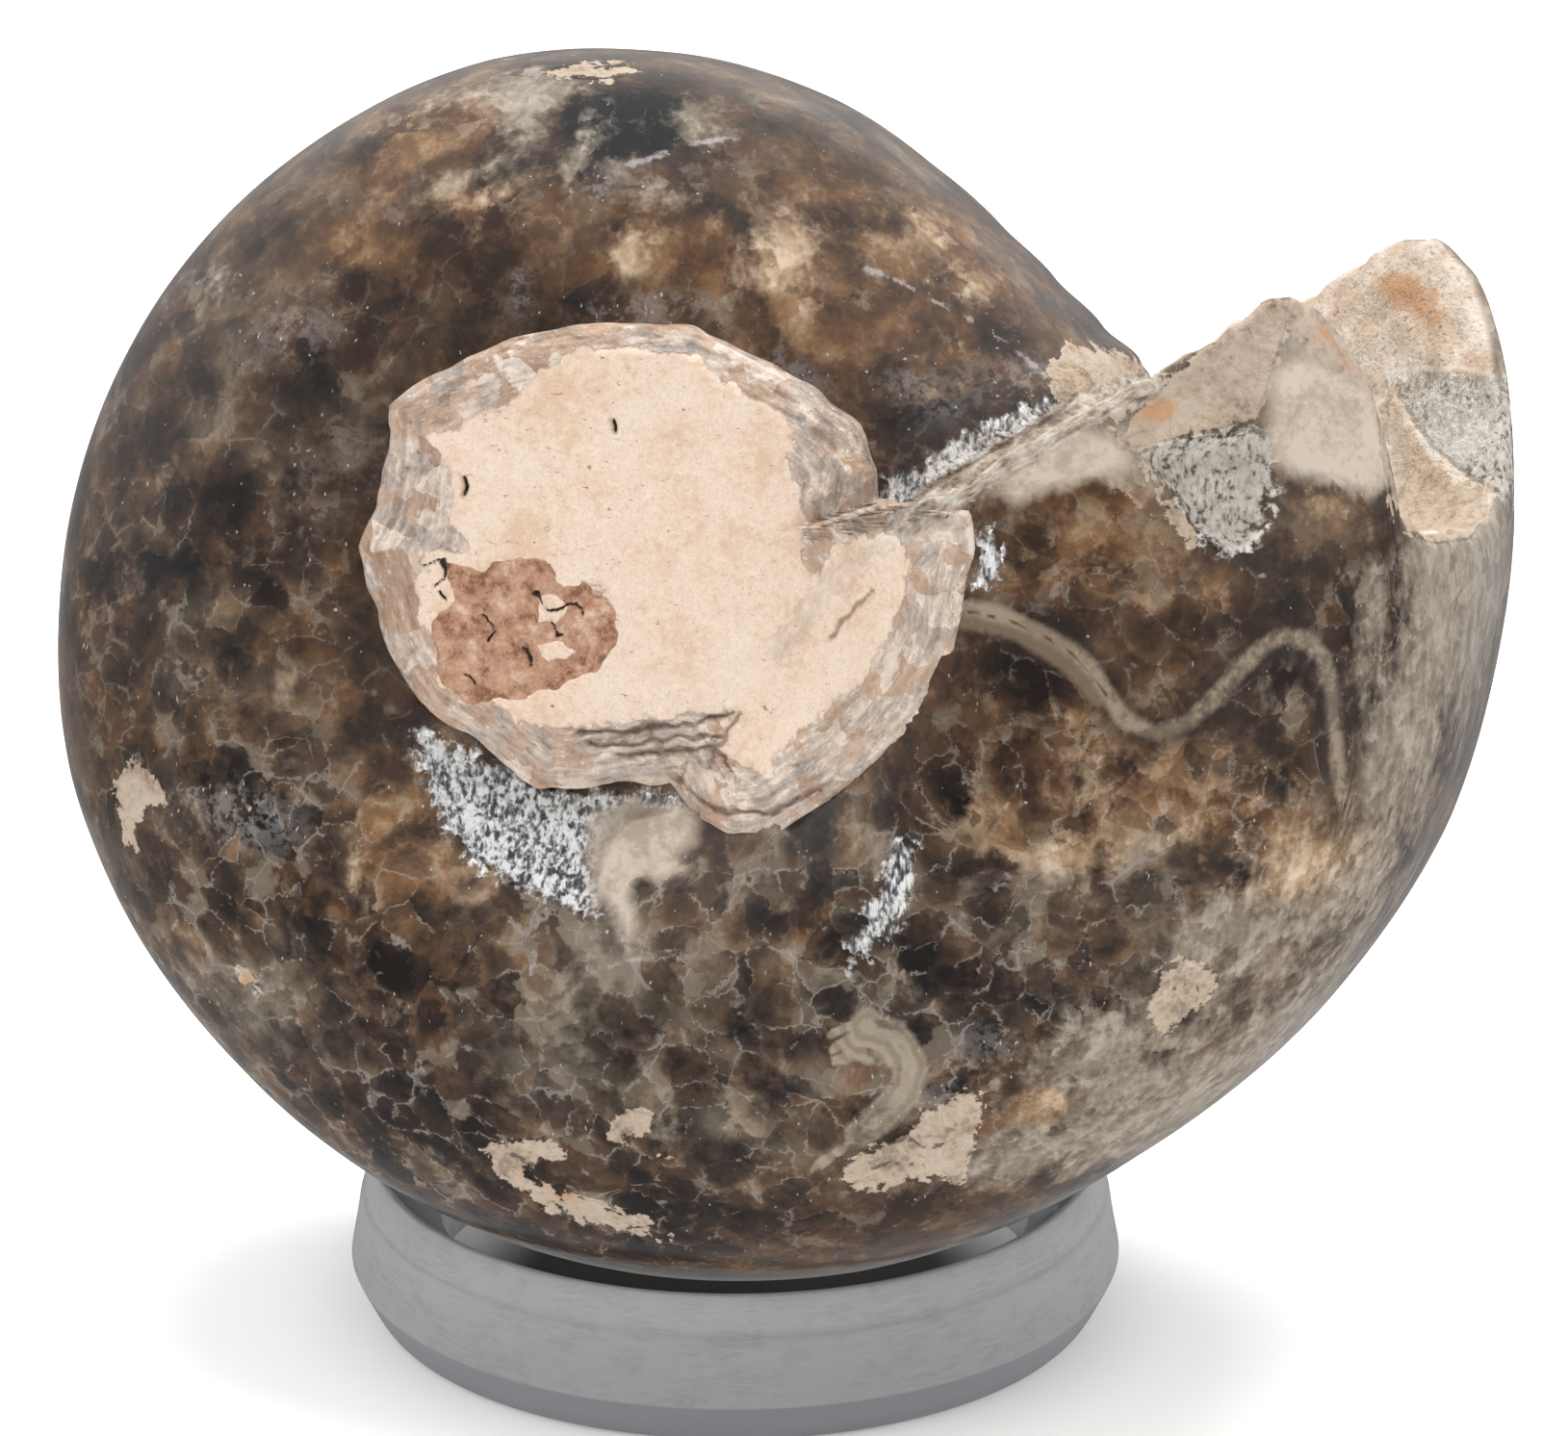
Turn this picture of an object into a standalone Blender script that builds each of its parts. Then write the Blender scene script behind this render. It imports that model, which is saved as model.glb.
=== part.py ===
"""A polished fossil ammonite standing in a clear ring stand.

Run it with: blender --background --python part.py
Lengths are in metres and +Z is up. The origin is the middle of the whole object's
footprint box, on the surface it stands on.

The ammonite is one piece of stone. It is described in the frame of its coil: u and v
lie in the plane of the coil, and n is the coil axis, pointing out of the near side.
A place on the shell is given by its turn angle about n, counted from u towards v, and
by its slope: 0 degrees on the keel line and 90 degrees on the coil axis.
"""

import math

import bmesh
import bpy
from mathutils import Vector

# --- Where things stand -------------------------------------------------------------
RING_CENTRE = Vector((-0.0032, 0.00294, 0.0))
COIL_OFFSET = Vector((-0.0037, 0.0019, 0.04935))  # coil centre from the ring's centre
AXIS_YAW = math.radians(13.2)        # the coil axis is turned to the left of -Y
AXIS_RISE = math.radians(14.9)       # and leans back, so the near side looks up

# --- The coil -------------------------------------------------------------------------
LIP_RADIUS = 0.0544                  # coil axis to keel at the lip
WHORL_GROWTH = 1.88                  # times larger after one turn
SEAM_ANGLE = math.radians(25.4)      # turn angle at which LIP_RADIUS holds
# (turn angle in degrees, mm) by which the keel strays from that even spiral
KEEL_TRIM = ((0, 3.8), (22, 3.8), (28, 2.9), (33, 1.5), (41, 0.2), (50, -0.6), (62, -0.9),
             (76, -0.6), (96, -0.3), (113, 0.2), (134, 0.0), (160, 0.2), (185, 0.5), (203, 0.9),
             (215, 0.7), (235, 0.2), (290, 0.0), (313, -0.4), (330, 0.2), (345, 0.6), (360, 0.2),
             (375, 0.0), (400, 0.0))
HALF_WIDTH_RATIO = 0.61              # half the whorl's width over its keel radius
RADIAL_POWER = 2.6                   # superellipse powers of the whorl's section
WIDTH_POWER = 3.0
FLOOR_HEIGHT = 0.019                 # where the flanks end under the umbilical stone
FLOOR_RADIUS = 0.009
FLOOR_REACH = 0.019                  # radial run of the slope down to that floor

# --- The lip: a horn on each flank, a wide notch at the keel -----------------------------
# (slope, turn angle) in degrees along the lip, from the keel to the axis
NEAR_LIP = ((0, 8.3), (9, 8.0), (15.5, 8.5), (19.5, 11.0), (21, 16.5), (22.5, 21.5), (25.5, 27.6),
            (31, 26.0), (38, 24.6), (45, 23.4), (50, 20.6), (90, 20.0))
FAR_LIP = ((0, 8.3), (4, 10.0), (7, 14.0), (11, 20.5), (16, 25.5), (21, 28.5), (26, 29.4),
           (31, 28.7), (36, 27.5), (42, 24.8), (50, 20.6), (90, 20.0))
# (slope, turn angle) in degrees of the line where the end face meets the inner whorl
FACE_FOOT = ((0, 11.0), (20, 11.5), (30, 15.0), (40, 20.5), (50, 20.0), (90, 20.0))
FACE_HOLLOW = math.radians(4.0)      # how far the end face dips between lip and foot

TURN_STEPS = 78
FACE_STEPS = 5
# places across the flank, in degrees from the keel at 0 to the edge of the floor at 90
FLANK_PLACES = (0, 5, 10, 15, 20, 24, 27, 30.5, 34, 38, 43, 49, 56, 63, 70, 77, 82, 86, 90)

# --- The stone that fills the umbilicus ---------------------------------------------------
# (turn angle in degrees, radius in mm) of its outline on the near and the far side
NEAR_PLUG = ((0, 24.4), (6, 25.0), (12, 26.0), (16.5, 25.8), (20, 22.0), (24, 18.8), (37, 18.7),
             (52, 17.7), (70, 17.2), (88, 16.5), (110, 16.4), (130, 16.8), (142, 17.4),
             (151, 15.9), (173, 15.5), (193, 14.4), (216, 13.4), (236, 12.6), (256, 12.9),
             (279, 12.3), (293, 12.9), (300, 15.6), (307, 17.6), (318, 19.2), (332, 20.7),
             (346, 22.9))
FAR_PLUG = ((0, 17.2), (40, 16.4), (80, 15.6), (120, 16.2), (160, 15.0), (200, 14.2),
            (240, 13.6), (280, 14.6), (320, 16.6))
PLUG_LEVEL = 0.0210                  # height of its flat face over the coil plane
PLUG_PROUD = 0.0008                  # how far it stands over a flank that is higher
PLUG_BLEND = 0.0012                  # softness of the change from flat to lifted
PLUG_ROUNDING = 0.0012
PLUG_ROOT = 0.0110
PLUG_STEPS = 54

# --- The ring stand: half section, (radius, height) in mm ----------------------------------
RING_SECTION = ((24.1, 0.0), (24.75, 1.2), (25.0, 3.0), (24.6, 5.6), (24.1, 8.6), (23.85, 9.7),
                (23.55, 10.15), (23.2, 10.2), (22.8, 9.95), (19.4, 6.3), (19.0, 5.9),
                (19.0, 1.4), (20.2, 0.0))
RING_STEPS = 72


def material(name, colour, roughness, alpha=1.0):
    mat = bpy.data.materials.new(name)
    mat.use_nodes = True
    shader = mat.node_tree.nodes["Principled BSDF"]
    shader.inputs["Base Color"].default_value = (*colour, 1.0)
    shader.inputs["Roughness"].default_value = roughness
    shader.inputs["Metallic"].default_value = 0.0
    shader.inputs["Alpha"].default_value = alpha
    return mat


def add_object(name, mesh, mat):
    mesh.materials.append(mat)
    mesh.shade_smooth()
    mesh.set_sharp_from_angle(angle=math.radians(38))
    obj = bpy.data.objects.new(name, mesh)
    bpy.context.scene.collection.objects.link(obj)
    return obj


def mesh_from(name, points, faces):
    """Mesh with its repeated corners dropped from each face and its normals outward."""
    mesh = bpy.data.meshes.new(name)
    clean = []
    for face in faces:
        face = [c for i, c in enumerate(face) if c != face[i - 1]]
        if len(set(face)) > 2:
            clean.append(face)
    mesh.from_pydata([tuple(p) for p in points], [], clean)
    bm = bmesh.new()
    bm.from_mesh(mesh)
    bmesh.ops.recalc_face_normals(bm, faces=bm.faces)
    bm.to_mesh(mesh)
    bm.free()
    return mesh


FLANK_STEPS = len(FLANK_PLACES) - 1


def ease(x):
    x = min(1.0, max(0.0, x))
    return x * x * (3 - 2 * x)


def between(knots, x, period=None):
    """Value at x on an eased line through (x, value) knots."""
    if period:
        x %= period
        knots = (*knots, (knots[0][0] + period, knots[0][1]))
    for (x0, y0), (x1, y1) in zip(knots, knots[1:]):
        if x <= x1:
            t = max(0.0, (x - x0) / (x1 - x0))
            return y0 + (y1 - y0) * (0.5 * t + 0.5 * ease(t))
    return knots[-1][1]


# --- The coil's frame and its surface -------------------------------------------------------
AXIS = Vector((
    -math.sin(AXIS_YAW) * math.cos(AXIS_RISE),
    -math.cos(AXIS_YAW) * math.cos(AXIS_RISE),
    math.sin(AXIS_RISE),
))
ACROSS = Vector((0, 0, 1)).cross(AXIS).normalized()
UPWARD = AXIS.cross(ACROSS)
COIL_CENTRE = RING_CENTRE + COIL_OFFSET


def in_coil(angle, radius, height):
    """World place at that turn angle, radius and height over the coil plane."""
    outward = ACROSS * math.cos(angle) + UPWARD * math.sin(angle)
    return COIL_CENTRE + outward * radius + AXIS * height


def keel_radius(angle):
    even = LIP_RADIUS * WHORL_GROWTH ** ((angle - SEAM_ANGLE) / math.tau - 1)
    return even + between(KEEL_TRIM, math.degrees(angle)) / 1000


def flank_height(angle, radius):
    """Height of the flank over the coil plane, on the turn that `angle` falls in."""
    keel = keel_radius(angle)
    share = min(1.0, radius / keel)
    height = HALF_WIDTH_RATIO * keel * (1 - share ** RADIAL_POWER) ** (1 / WIDTH_POWER)
    return FLOOR_HEIGHT + (height - FLOOR_HEIGHT) * ease((radius - FLOOR_RADIUS) / FLOOR_REACH)


def on_whorl(angle, column):
    """(radius, height) on the whorl; column 0 is the keel, FLANK_STEPS the floor's edge."""
    keel = keel_radius(angle)
    turn = math.radians(FLANK_PLACES[abs(column)])
    radius = FLOOR_RADIUS + (keel - FLOOR_RADIUS) * math.cos(turn) ** (2 / RADIAL_POWER)
    if column == 0:
        return keel, 0.0
    return radius, math.copysign(flank_height(angle, radius), column)


def column_angles(column):
    """Turn angles of the end face's foot and of the lip in that column."""
    lip = math.radians(20) + math.tau
    for _ in range(4):
        radius, height = on_whorl(lip, column)
        slope = math.degrees(math.atan2(abs(height), radius))
        lip = math.radians(between(NEAR_LIP if column > 0 else FAR_LIP, slope)) + math.tau
    return math.radians(between(FACE_FOOT, slope)), lip


def build_shell(mat):
    """The coiled shell: one full turn of outer surface closed by the hollow end face."""
    columns = range(-FLANK_STEPS, FLANK_STEPS + 1)
    rows = TURN_STEPS + FACE_STEPS
    points, index = [], {}
    for col in columns:
        foot, lip = column_angles(col)
        edge = abs(col) == FLANK_STEPS
        for row in range(rows):
            if edge and row >= TURN_STEPS:
                index[row, col] = index[0, col]
                continue
            if row <= TURN_STEPS:
                angle = foot + (lip - foot) * row / TURN_STEPS
                radius, height = on_whorl(angle, col)
            else:
                part = (row - TURN_STEPS) / FACE_STEPS
                outer, inner = on_whorl(lip, col), on_whorl(foot, col)
                radius, height = (o + (i - o) * part for o, i in zip(outer, inner))
                dip = FACE_HOLLOW * math.sin(math.pi * part) ** 2
                angle = lip + (foot + math.tau - lip) * ease(1.2 * part) - dip * radius / LIP_RADIUS
            index[row, col] = len(points)
            points.append(in_coil(angle, radius, height))
    faces = [
        (index[r, c], index[(r + 1) % rows, c], index[(r + 1) % rows, c + 1], index[r, c + 1])
        for r in range(rows) for c in columns[:-1]
    ]
    for side in (-1, 1):
        rim = [index[r, side * FLANK_STEPS] for r in range(TURN_STEPS)]
        centre = len(points)
        points.append(in_coil(0, 0, side * FLOOR_HEIGHT))
        faces += [(a, b, centre) for a, b in zip(rim, rim[1:] + rim[:1])]
    return add_object("ammonite", mesh_from("ammonite", points, faces), mat)


def plug_top(angle, radius):
    """Height of the umbilical stone: flat, but lifted where the flank stands higher."""
    turn = angle if angle < math.radians(21) else angle - math.tau
    over = flank_height(turn + math.tau, radius) + PLUG_PROUD - PLUG_LEVEL
    return PLUG_LEVEL + 0.5 * (over + math.hypot(over, PLUG_BLEND))


def build_plug(outline, side, mat):
    rings = (0.0, 0.45, 0.62, 0.76, 0.89, 1.0)
    points, loops = [in_coil(0, 0, side * PLUG_LEVEL)], []
    angles = [math.tau * i / PLUG_STEPS for i in range(PLUG_STEPS)]
    for share in rings[1:]:
        loops.append(range(len(points), len(points) + PLUG_STEPS))
        for angle in angles:
            reach = between(outline, math.degrees(angle), 360) / 1000
            radius = (reach - PLUG_ROUNDING) * share
            points.append(in_coil(angle, radius, side * plug_top(angle, radius)))
    for drop, root in ((PLUG_ROUNDING, False), (0.0, True)):
        loops.append(range(len(points), len(points) + PLUG_STEPS))
        for angle in angles:
            radius = between(outline, math.degrees(angle), 360) / 1000
            height = PLUG_ROOT if root else plug_top(angle, radius) - drop
            points.append(in_coil(angle, radius, side * height))
    points.append(in_coil(0, 0, side * PLUG_ROOT))
    faces = []
    for i in range(PLUG_STEPS):
        j = (i + 1) % PLUG_STEPS
        faces.append((0, loops[0][i], loops[0][j]))
        faces += [(a[i], b[i], b[j], a[j]) for a, b in zip(loops, loops[1:])]
        faces.append((loops[-1][j], loops[-1][i], len(points) - 1))
    return add_object("umbilical_stone", mesh_from("umbilical_stone", points, faces), mat)


def join_into(body, other):
    """Union `other` into `body` and drop it."""
    modifier = body.modifiers.new("join", "BOOLEAN")
    modifier.operation = "UNION"
    modifier.solver = "EXACT"
    modifier.object = other
    graph = bpy.context.evaluated_depsgraph_get()
    joined = bpy.data.meshes.new_from_object(body.evaluated_get(graph))
    body.modifiers.clear()
    body.data = joined
    bpy.data.objects.remove(other)


def build_ring(mat):
    points, loops = [], []
    for i in range(RING_STEPS):
        angle = math.tau * i / RING_STEPS
        loops.append(range(len(points), len(points) + len(RING_SECTION)))
        for radius, height in RING_SECTION:
            radius, height = radius / 1000, height / 1000
            points.append(RING_CENTRE + Vector((
                radius * math.cos(angle), radius * math.sin(angle), height)))
    faces = []
    for i, loop in enumerate(loops):
        after = loops[(i + 1) % RING_STEPS]
        for k in range(len(loop)):
            m = (k + 1) % len(loop)
            faces.append((loop[k], after[k], after[m], loop[m]))
    return add_object("ring_stand", mesh_from("ring_stand", points, faces), mat)


for leftover in list(bpy.data.objects):
    bpy.data.objects.remove(leftover)

stone = material("brown_calcite", (0.16, 0.105, 0.065), 0.25)
clear = material("clear_acrylic", (0.86, 0.88, 0.87), 0.12, alpha=0.35)

ammonite = build_shell(stone)
join_into(ammonite, build_plug(NEAR_PLUG, 1, stone))
join_into(ammonite, build_plug(FAR_PLUG, -1, stone))
build_ring(clear)
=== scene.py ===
import math

import bmesh
import bpy
import numpy as np
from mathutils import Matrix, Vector, noise


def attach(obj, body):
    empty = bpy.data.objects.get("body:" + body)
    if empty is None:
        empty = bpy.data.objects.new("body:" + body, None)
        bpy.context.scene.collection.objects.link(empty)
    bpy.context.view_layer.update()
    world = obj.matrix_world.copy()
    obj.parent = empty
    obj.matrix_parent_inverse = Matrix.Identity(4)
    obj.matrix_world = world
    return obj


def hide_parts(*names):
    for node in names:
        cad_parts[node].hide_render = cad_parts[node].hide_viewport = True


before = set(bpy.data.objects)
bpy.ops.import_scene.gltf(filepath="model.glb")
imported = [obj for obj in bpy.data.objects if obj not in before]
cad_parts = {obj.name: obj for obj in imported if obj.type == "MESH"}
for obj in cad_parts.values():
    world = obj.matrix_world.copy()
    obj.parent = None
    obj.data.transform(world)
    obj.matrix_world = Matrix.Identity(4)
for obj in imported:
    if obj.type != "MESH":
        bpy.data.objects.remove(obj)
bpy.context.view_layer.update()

mm = 0.001
noise.seed_set(7)  # the same stone on every run
print("frame loaded")


view = dict(
    lookAt=(-0.044, 2.94, 39.632),  # mm
    distance=600.0,
    elevation=21.0,
    lens=217.18,
    sensor=36.0,
    clipEnd=20.0,  # m
    frameSize=(1629, 1492),  # pixels
)

lift = math.radians(view["elevation"])
viewForward = np.array([0.0, math.cos(lift), -math.sin(lift)])
viewUp = np.array([0.0, math.sin(lift), math.cos(lift)])
viewRight = np.array([1.0, 0.0, 0.0])
viewPlace = np.array(view["lookAt"]) - viewForward * view["distance"]
focal = view["lens"] / view["sensor"] * view["frameSize"][0]


# where points in mm fall in the camera's frame, in its pixels from the top left
def inFrame(points):
    away = points - viewPlace
    depth = away @ viewForward
    x = view["frameSize"][0] / 2 + focal * (away @ viewRight) / depth
    y = view["frameSize"][1] / 2 - focal * (away @ viewUp) / depth
    return np.stack([x, y], -1)


camera = bpy.data.objects.new("camera", bpy.data.cameras.new("camera"))
camera.data.lens = view["lens"]
camera.data.clip_end = view["clipEnd"]
camera.location = Vector(viewPlace * mm)
camera.rotation_euler = (math.radians(90) - lift, 0, 0)
bpy.context.collection.objects.link(camera)
bpy.context.scene.camera = camera
bpy.context.scene.view_settings.view_transform = "Standard"

studio = dict(
    # brightness of the surroundings from straight below to straight above
    surround=((0.0, 0.30), (0.42, 0.34), (0.53, 0.58), (0.72, 0.95), (1.0, 1.05)),
    dimSide=(-0.38, -0.88, 0.28),  # darker where the camera stands
    dimFrom=(0.30, 0.92),
    dimmest=0.42,
    strength=0.95,
    floorHalf=3.2,  # m
    floorRows=24,
    floorColour=(0.985, 0.985, 0.98),
    floorGrain=0.99,
    floorRoughness=0.75,
    floorGlow=0.34,
    shadeCentre=(-3.2, 2.94, 0.0),  # mm
    shadeReach=(14.0, 31.0),
    shadeGlow=0.03,
    underShadowReach=(13.0, 19.5),  # painted shadow: the floor hidden in the ring is painted dark
    underShadowColour=(0.06, 0.056, 0.052),
    # name: place, size, power (W), colour
    lamps=dict(
        key=((-0.50, -0.65, 1.00), 0.8, 2.6, (1.0, 0.985, 0.96)),
        top=((0.10, 0.20, 1.10), 0.8, 12.0, (1.0, 1.0, 1.0)),
    ),
    lampsAim=(0, 0, 0.04),
)

world = bpy.data.worlds.new("studio")
world.use_nodes = True
skyNodes = world.node_tree
skyPlace = skyNodes.nodes.new("ShaderNodeTexCoord").outputs["Generated"]
skyUp = skyNodes.nodes.new("ShaderNodeSeparateXYZ")
skyHalf = skyNodes.nodes.new("ShaderNodeMapRange")
skyHalf.inputs["From Min"].default_value = -1.0
skyTone = skyNodes.nodes.new("ShaderNodeValToRGB")
while len(skyTone.color_ramp.elements) < len(studio["surround"]):
    skyTone.color_ramp.elements.new(0.5)
for element, (at, tone) in zip(skyTone.color_ramp.elements, studio["surround"]):
    element.position, element.color = at, (tone, tone, tone, 1)
skyFacing = skyNodes.nodes.new("ShaderNodeVectorMath")
skyFacing.operation = "DOT_PRODUCT"
skyFacing.inputs[1].default_value = studio["dimSide"]
skyDim = skyNodes.nodes.new("ShaderNodeMapRange")
skyDim.interpolation_type = "SMOOTHSTEP"
dimRange = (*studio["dimFrom"], 1.0, studio["dimmest"])
for key, value in zip(("From Min", "From Max", "To Min", "To Max"), dimRange):
    skyDim.inputs[key].default_value = value
skyShade = skyNodes.nodes.new("ShaderNodeVectorMath")
skyShade.operation = "SCALE"
background = skyNodes.nodes["Background"]
background.inputs["Strength"].default_value = studio["strength"]
for source, target in (
        (skyPlace, skyUp.inputs[0]), (skyUp.outputs["Z"], skyHalf.inputs[0]),
        (skyHalf.outputs[0], skyTone.inputs[0]), (skyPlace, skyFacing.inputs[0]),
        (skyFacing.outputs["Value"], skyDim.inputs[0]), (skyTone.outputs[0], skyShade.inputs[0]),
        (skyDim.outputs[0], skyShade.inputs["Scale"]), (skyShade.outputs[0], background.inputs["Color"])):
    skyNodes.links.new(source, target)
bpy.context.scene.world = world

for lampName, (place, size, power, colour) in studio["lamps"].items():
    lamp = bpy.data.lights.new(lampName, "AREA")
    lamp.shape = "DISK"
    lamp.size, lamp.energy, lamp.color = size, power, colour
    holder = bpy.data.objects.new(lampName, lamp)
    holder.location = place
    aim = Vector(studio["lampsAim"]) - Vector(place)
    holder.rotation_euler = aim.to_track_quat("-Z", "Y").to_euler()
    holder.visible_glossy = False  # no lamp shape in the polish
    bpy.context.collection.objects.link(holder)
print("camera and light set")


# adds nodes to one material and links what is passed to them
class Nodes:

    def __init__(self, name):
        self.material = bpy.data.materials.new(name)
        self.material.use_nodes = True
        self.tree = self.material.node_tree
        self.shader = self.tree.nodes["Principled BSDF"]
        self.out = self.tree.nodes["Material Output"]
        coordinates = self.add("ShaderNodeTexCoord").outputs["Object"]
        self.place = self.scaled(coordinates, 1 / mm)  # now in mm
        self.grain = {}  # noises that several layers share, by name

    def feed(self, socket, value):
        if isinstance(value, bpy.types.NodeSocket):
            self.tree.links.new(value, socket)
        elif isinstance(value, (tuple, list)) and len(value) == 3 and socket.type == "RGBA":
            socket.default_value = (*value, 1)
        else:
            socket.default_value = value

    def add(self, kind, inputs=(), **settings):
        node = self.tree.nodes.new(kind)
        for key, value in settings.items():
            setattr(node, key, value)
        for key, value in dict(inputs).items():
            self.feed(node.inputs[key], value)
        return node

    def math(self, operation, a, b=0.0):
        return self.add("ShaderNodeMath", {0: a, 1: b}, operation=operation).outputs[0]

    def times(self, a, b):
        return self.math("MULTIPLY", a, b)

    def larger(self, a, b):
        return self.math("MAXIMUM", a, b)

    def rest(self, value):
        return self.math("SUBTRACT", 1.0, value)

    def centred(self, value, gain):
        return self.times(self.math("SUBTRACT", value, 0.5), gain)

    def total(self, *values):
        result = values[0]
        for value in values[1:]:
            result = self.math("ADD", result, value)
        return result

    # value plus the named noises, each about zero and by its own gain
    def ragged(self, value, **gains):
        for name, gain in gains.items():
            value = self.math("ADD", value, self.centred(self.grain[name], gain))
        return value

    def vector(self, operation, a, b):
        return self.add("ShaderNodeVectorMath", {0: a, 1: b}, operation=operation).outputs[0]

    def scaled(self, a, scale):
        return self.add("ShaderNodeVectorMath", {0: a, "Scale": scale}, operation="SCALE").outputs[0]

    def stretched(self, amounts):
        return self.vector("MULTIPLY", self.place, amounts)

    # smooth step of value from low to high
    def step(self, value, low, high, toLow=0.0, toHigh=1.0):
        node = self.add("ShaderNodeMapRange", {0: value, 1: low, 2: high, 3: toLow, 4: toHigh},
                        interpolation_type="SMOOTHSTEP")
        return node.outputs[0]

    def mix(self, share, a, b):
        node = self.add("ShaderNodeMix", data_type="RGBA", clamp_factor=True)
        colours = [s for s in node.inputs if s.type == "RGBA"]
        self.feed(node.inputs[0], share)
        self.feed(colours[0], a)
        self.feed(colours[1], b)
        return [s for s in node.outputs if s.type == "RGBA"][0]

    def blendValue(self, share, a, b):
        node = self.add("ShaderNodeMix", data_type="FLOAT", clamp_factor=True)
        self.feed(node.inputs[0], share)
        self.feed(node.inputs[2], a)
        self.feed(node.inputs[3], b)
        return node.outputs[0]

    def noise(self, scale, detail=3.0, rough=0.55, twist=0.0, place=None):
        node = self.add("ShaderNodeTexNoise", {
            "Vector": place or self.place, "Scale": scale, "Detail": detail,
            "Roughness": rough, "Distortion": twist})
        return node.outputs

    def cells(self, scale, feature="F1", place=None):
        inputs = {"Vector": place or self.place, "Scale": scale}
        return self.add("ShaderNodeTexVoronoi", inputs, feature=feature).outputs

    def ramp(self, value, *stops):
        node = self.add("ShaderNodeValToRGB", {0: value})
        ramp = node.color_ramp
        while len(ramp.elements) < len(stops):
            ramp.elements.new(0.5)
        for element, (at, colour) in zip(ramp.elements, stops):
            element.position = at
            element.color = (*colour, 1)
        return node.outputs[0]

    def mark(self, name, part="Fac"):
        return self.add("ShaderNodeAttribute", attribute_name=name).outputs[part]

    # noise that changes fast with across and slowly along the surface
    def drawn(self, across, stretch, scale, detail=3.0):
        node = self.add("ShaderNodeTexNoise", {
            "Vector": self.place, "W": self.times(across, stretch), "Scale": scale,
            "Detail": detail, "Roughness": 0.6}, noise_dimensions="4D")
        return node.outputs[0]

    # the three random values that each cell has, as nameA, nameB and nameC
    def threeTones(self, name, cells):
        parts = self.add("ShaderNodeSeparateColor", {0: cells[1]}).outputs
        return {name + letter: part for letter, part in zip("ABC", parts)}

    def bump(self, height, distance):
        inputs = {"Height": height, "Distance": distance, "Strength": 1.0}
        return self.add("ShaderNodeBump", inputs).outputs[0]

    def finish(self, **sockets):
        for key, value in sockets.items():
            self.feed(self.shader.inputs[key], value)
        return self.material


def makeFloor():
    half, count = studio["floorHalf"], studio["floorRows"]
    steps = np.linspace(-half, half, count)
    corners = [(x, y, 0.0) for x in steps for y in steps]
    faces = [(i * count + j, (i + 1) * count + j, (i + 1) * count + j + 1, i * count + j + 1)
             for i in range(count - 1) for j in range(count - 1)]
    mesh = bpy.data.meshes.new("floor")
    mesh.from_pydata(corners, [], faces)
    floor = bpy.data.objects.new("floor", mesh)
    floor.visible_glossy = False  # the polish mirrors the dimmer surroundings instead
    bpy.context.collection.objects.link(floor)
    kit = Nodes("pale_floor")
    grain = kit.noise(0.05, 2.0)[0]
    tone = kit.mix(kit.step(grain, 0.3, 0.7), studio["floorColour"],
                   tuple(c * studio["floorGrain"] for c in studio["floorColour"]))
    # painted shadow: the floor's glow fades out under the stone, and the floor hidden in the ring is
    # painted dark
    across = kit.vector("MULTIPLY", kit.vector("SUBTRACT", kit.place, studio["shadeCentre"]), (1, 1, 0))
    away = kit.add("ShaderNodeVectorMath", {0: across}, operation="LENGTH").outputs["Value"]
    tone = kit.mix(kit.step(away, *studio["underShadowReach"]), studio["underShadowColour"], tone)
    glow = kit.step(away, *studio["shadeReach"], studio["shadeGlow"], studio["floorGlow"])
    mesh.materials.append(kit.finish(**{
        "Base Color": tone, "Roughness": studio["floorRoughness"],
        "Emission Color": tone, "Emission Strength": glow}))


makeFloor()
print("floor made")


# angles turn about the coil axis, in degrees counted on the near side; lengths are in mm
coil = dict(
    ringCentre=(-3.2, 2.94, 0.0),
    fromRing=(-3.7, 1.9, 49.35),
    yaw=13.2,
    rise=14.9,
    lipRadius=54.4,
    growth=1.88,
    seam=25.4,
    widthRatio=0.61,
    radialPower=2.6,
    widthPower=3.0,
    floorHeight=19.0,
    floorRadius=9.0,
    floorReach=19.0,
    keelTrim=((0, 3.8), (22, 3.8), (28, 2.9), (33, 1.5), (41, 0.2), (50, -0.6), (62, -0.9),
              (76, -0.6), (96, -0.3), (113, 0.2), (134, 0.0), (160, 0.2), (185, 0.5), (203, 0.9),
              (215, 0.7), (235, 0.2), (290, 0.0), (313, -0.4), (330, 0.2), (345, 0.6), (360, 0.2),
              (375, 0.0), (400, 0.0)),
    nearLip=((0, 8.3), (9, 8.0), (15.5, 8.5), (19.2, 10.5), (20.1, 15.5), (20.7, 19.2), (21.3, 21.6),
             (22.6, 24.4), (23.7, 26.5), (25.4, 27.9), (27, 28.3), (28.5, 27.6), (31.3, 26.8),
             (38, 25.3), (45, 23.6), (50, 20.6), (90, 20.0)),
    farLip=((0, 8.3), (4, 10.0), (7, 14.0), (11, 20.5), (16, 25.5), (21, 28.5), (26, 29.4),
            (31, 28.7), (36, 27.5), (42, 24.8), (50, 20.6), (90, 20.0)),
    foot=((0, 11.0), (20, 11.5), (30, 15.0), (40, 20.5), (50, 20.0), (90, 20.0)),
    lipStart=20.0,
    lipRounds=4,  # the lip's angle and its place on the section are settled in turn
    faceHollow=4.0,
    hubInset=0.3,
    turnRows=376,
    faceRows=40,
    nearColumns=128,
    farColumns=92,
)

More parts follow.
